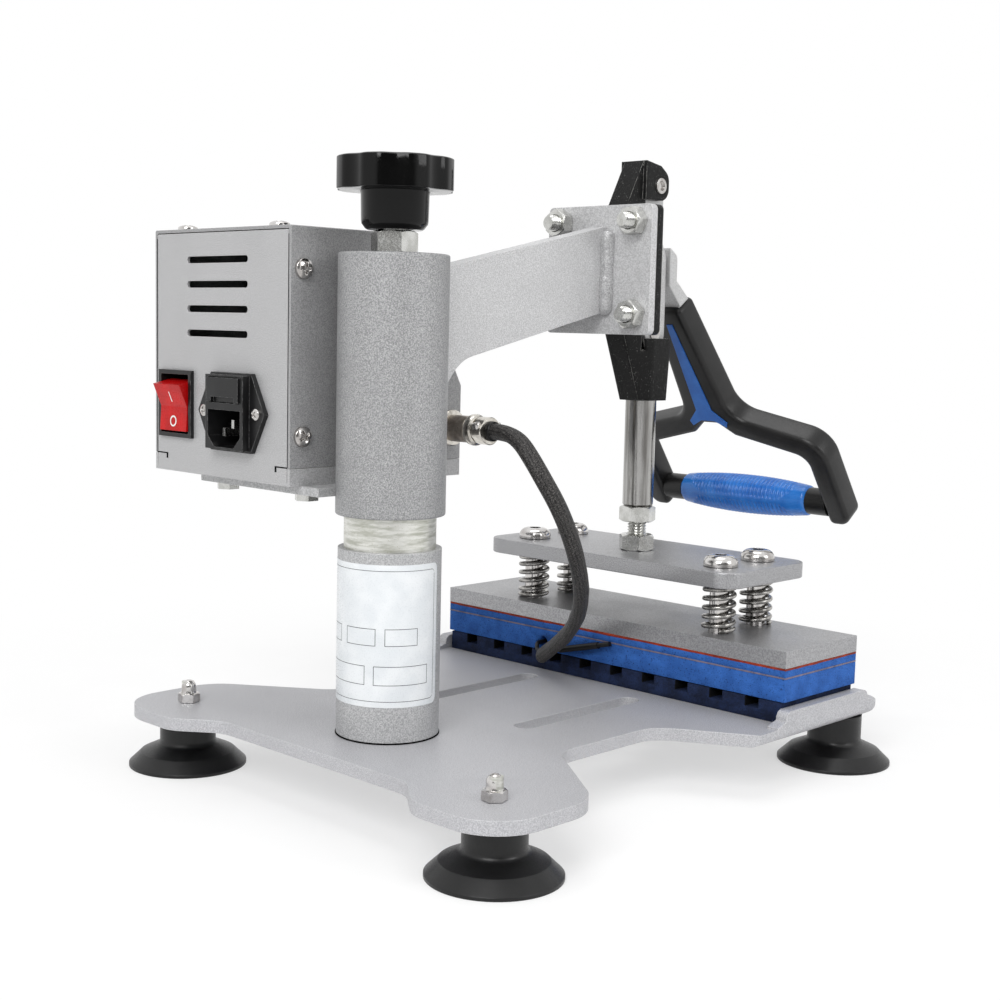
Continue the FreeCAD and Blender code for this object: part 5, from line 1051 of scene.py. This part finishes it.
def patch(name, strips, radius):
    """Inked strips on the lower tube, from spans of degrees and of height in mm."""
    verts, faces = [], []
    for a0, a1, z0, z1 in strips:
        columns = max(int(abs(a1 - a0) / 2.5), 1) + 1
        start = len(verts)
        verts += [on_tube(radius, a0 + (a1 - a0) * j / (columns - 1), z) for z in (z0, z1) for j in range(columns)]
        faces += [(start + j, start + j + 1, start + columns + j + 1, start + columns + j)
                  for j in range(columns - 1)]
    solid(name, verts, faces, INK, "base")


def rim(inset, angle, up):
    """Height of the label's rounded outline at an angle, drawn in by an inset."""
    reach = min(angle - (LEFT + inset * PER_MM), (RIGHT - inset * PER_MM) - angle) / PER_MM
    size = 3.0 - inset * 0.4
    cut = size - math.sqrt(max(size ** 2 - (size - max(reach, 0)) ** 2, 0)) if reach < size else 0
    return (TOP - inset - cut) if up else (BOTTOM + inset + cut)


def label():
    """A white sticker with rounded corners, a thin border and empty boxes."""
    ends = (0, 1, 2, 4, 7)
    shell = LABEL + 0.09
    ink = shell + 0.03
    angles = [LEFT + end for end in ends]
    angles += [LEFT + 7 + (RIGHT - LEFT - 14) * i / 90 for i in range(1, 90)]
    angles += [RIGHT - end for end in reversed(ends)]
    verts = [on_tube(r, a, rim(0, a, up)) for a in angles for up in (False, True) for r in (LABEL + 0.01, shell)]
    faces = [(0, 1, 3, 2)]
    for a in range(0, 4 * len(angles) - 4, 4):
        b = a + 4
        faces += [(a + 1, b + 1, b + 3, a + 3), (a + 1, a, b, b + 1), (a + 2, a + 3, b + 3, b + 2)]
    solid("blank_label", verts, faces, STICKER, "base").data.set_sharp_from_angle(angle=0.6)
    lines = []
    width = 0.26
    spread = width * PER_MM
    upper, lower = (75.4, 83.2), (57.6, 66.3)
    for a0, a1, (z0, z1) in ((38, 76, upper), (87, 124, upper), (134, 171, upper), (48, 112, lower),
                             (122, 185, lower)):
        lines += [(a0, a1, z0, z0 + width), (a0, a1, z1 - width, z1), (a0, a0 + spread, z0, z1),
                  (a1 - spread, a1, z0, z1)]
    patch("label_boxes", lines, ink)
    inset, width = 2.6, 0.24
    left, right = LEFT + inset * PER_MM, RIGHT - inset * PER_MM
    verts, faces = [], []
    for up in (False, True):
        start = len(verts)
        for a in angles:
            spot = min(max(a, left), right)
            verts += [on_tube(ink, spot, rim(inset, spot, up) + shift) for shift in (0, -width if up else width)]
        faces += [(start + i, start + i + 1, start + i + 3, start + i + 2) for i in range(0, 2 * len(angles) - 2, 2)]
    for spot, inner in ((left, width * PER_MM), (right, -width * PER_MM)):
        start = len(verts)
        verts += [on_tube(ink, spot + shift, rim(inset, spot, up)) for up in (False, True) for shift in (0, inner)]
        faces.append((start, start + 1, start + 3, start + 2))
    solid("label_border", verts, faces, INK, "base")


STICKER = plastic("label_film", (226, 229, 231), (216, 220, 223), 0.3, 0.0, 0.6)
INK = plastic("label_ink", (60, 62, 66), (44, 46, 50), 0.4, 0.0, 0.6)
label()


# ---- rocker marks

def rocker_marks():
    """A thin white stroke and a ring, laid on the rocker's surface."""
    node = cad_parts["power_rocker"].data
    tree = BVHTree.FromPolygons([v.co.copy() for v in node.vertices], [tuple(p.vertices) for p in node.polygons])
    _, high, (middle, _, level) = extent("power_rocker")

    def lay(points):
        spots = []
        for x, z in points:
            hit, normal = tree.ray_cast(at(x, high.y + 20, z), Vector((0, -1, 0)))[:2]
            spots.append(hit + normal * 0.06 * MM if hit else at(x, high.y, z))
        return spots
    half, low_end, high_end = 0.32, level + 1.6, level + 6.4
    bar = lay([(middle - half, low_end), (middle - half, high_end), (middle + half, high_end),
               (middle + half, low_end)])
    solid("rocker_bar", bar, [(0, 1, 2, 3)], WHITE, "rocker")
    steps = 48
    ring = lay([(middle + r * math.cos(a), level - 7.8 + r * math.sin(a))
                for a in (TAU * k / steps for k in range(steps)) for r in (1.9, 2.7)])
    solid("rocker_ring", ring, grid_faces(steps, 2, closed_rows=True), WHITE, "rocker")


WHITE = plastic("mark_white", (238, 238, 236), (226, 226, 224), 0.4, 0.0)
rocker_marks()


# ---- studio

def dark_card(n, glossy):
    """A dim band that stands still in the room and that only bright metal and gloss mirror."""
    x, y, z = n.add("ShaderNodeSeparateXYZ", {0: n.add("ShaderNodeTexCoord").outputs["Generated"]}).outputs
    azimuth = math.radians(140)
    along = n.math("ADD", n.times(x, math.cos(azimuth)), n.times(y, math.sin(azimuth)))
    flat = n.math("SQRT", n.math("ADD", n.times(x, x), n.times(y, y)))
    turn = n.math("DIVIDE", along, n.math("MAXIMUM", flat, 0.001))
    band = n.times(n.ramp(turn, 0.74, 0.86), n.ramp(n.times(z, -1), -0.62, -0.45))
    return n.math("SUBTRACT", 1.0, n.times(n.times(band, glossy), 0.8))


def studio():
    """A pale floor that runs out to a white surround, and three soft lamps."""
    white = (1, 1, 1, 1)
    bpy.ops.mesh.primitive_plane_add(size=12, location=(0, 0, -0.0002))
    floor = bpy.context.object
    floor.name = "floor"
    f = Finish("pale_floor", Roughness=0.8)
    f.ground(f.noise(60, 2), 0.3, 0.7, 246, 249)
    f.set("Base Color", f.colour)
    reach = f.add("ShaderNodeVectorMath", {0: f.place}, operation="LENGTH").outputs["Value"]
    rays = f.add("ShaderNodeLightPath").outputs
    seen = f.math("MAXIMUM", rays["Is Camera Ray"], rays["Is Glossy Ray"])
    seen = f.math("MAXIMUM", seen, rays["Is Transmission Ray"])
    share = f.times(seen, f.ramp(reach, 0.16, 0.5, 0.55, 1.0))
    glow = f.add("ShaderNodeEmission", {"Color": white, "Strength": 1.0}).outputs[0]
    blend = f.add("ShaderNodeMixShader", {0: share, 1: f.shader.outputs[0], 2: glow}).outputs[0]
    f.join(blend, f.tree.nodes["Material Output"].inputs["Surface"])
    floor.data.materials.append(f.material)
    world = bpy.data.worlds.new("studio")
    world.use_nodes = True
    n = Nodes(world.node_tree)
    back = n.tree.nodes["Background"].inputs
    n.join(white, back["Color"])
    rays = n.add("ShaderNodeLightPath").outputs
    seen = n.math("MAXIMUM", rays["Is Camera Ray"], rays["Is Glossy Ray"])
    level = n.add("ShaderNodeMapRange", {0: seen, "To Min": 0.55, "To Max": 1.0}).outputs[0]
    n.join(n.times(level, dark_card(n, rays["Is Glossy Ray"])), back["Strength"])
    bpy.context.scene.world = world
    lamps = [("key", (-0.7, 1.5, 1.3), 0.9, 21), ("fill", (-1.6, -0.3, 0.9), 0.7, 6),
             ("top", (0.1, 0.0, 1.9), 1.0, 9)]
    for name, place, size, power in lamps:
        data = bpy.data.lights.new(name, "AREA")
        data.size = size
        data.energy = power
        lamp = placed(name, data)
        lamp.location = place
        aim = Vector((0, 0, 0.15)) - Vector(place)
        lamp.rotation_euler = aim.to_track_quat("-Z", "Y").to_euler()


studio()
scene = bpy.context.scene
scene.view_settings.view_transform = "Standard"

bpy.context.view_layer.update()
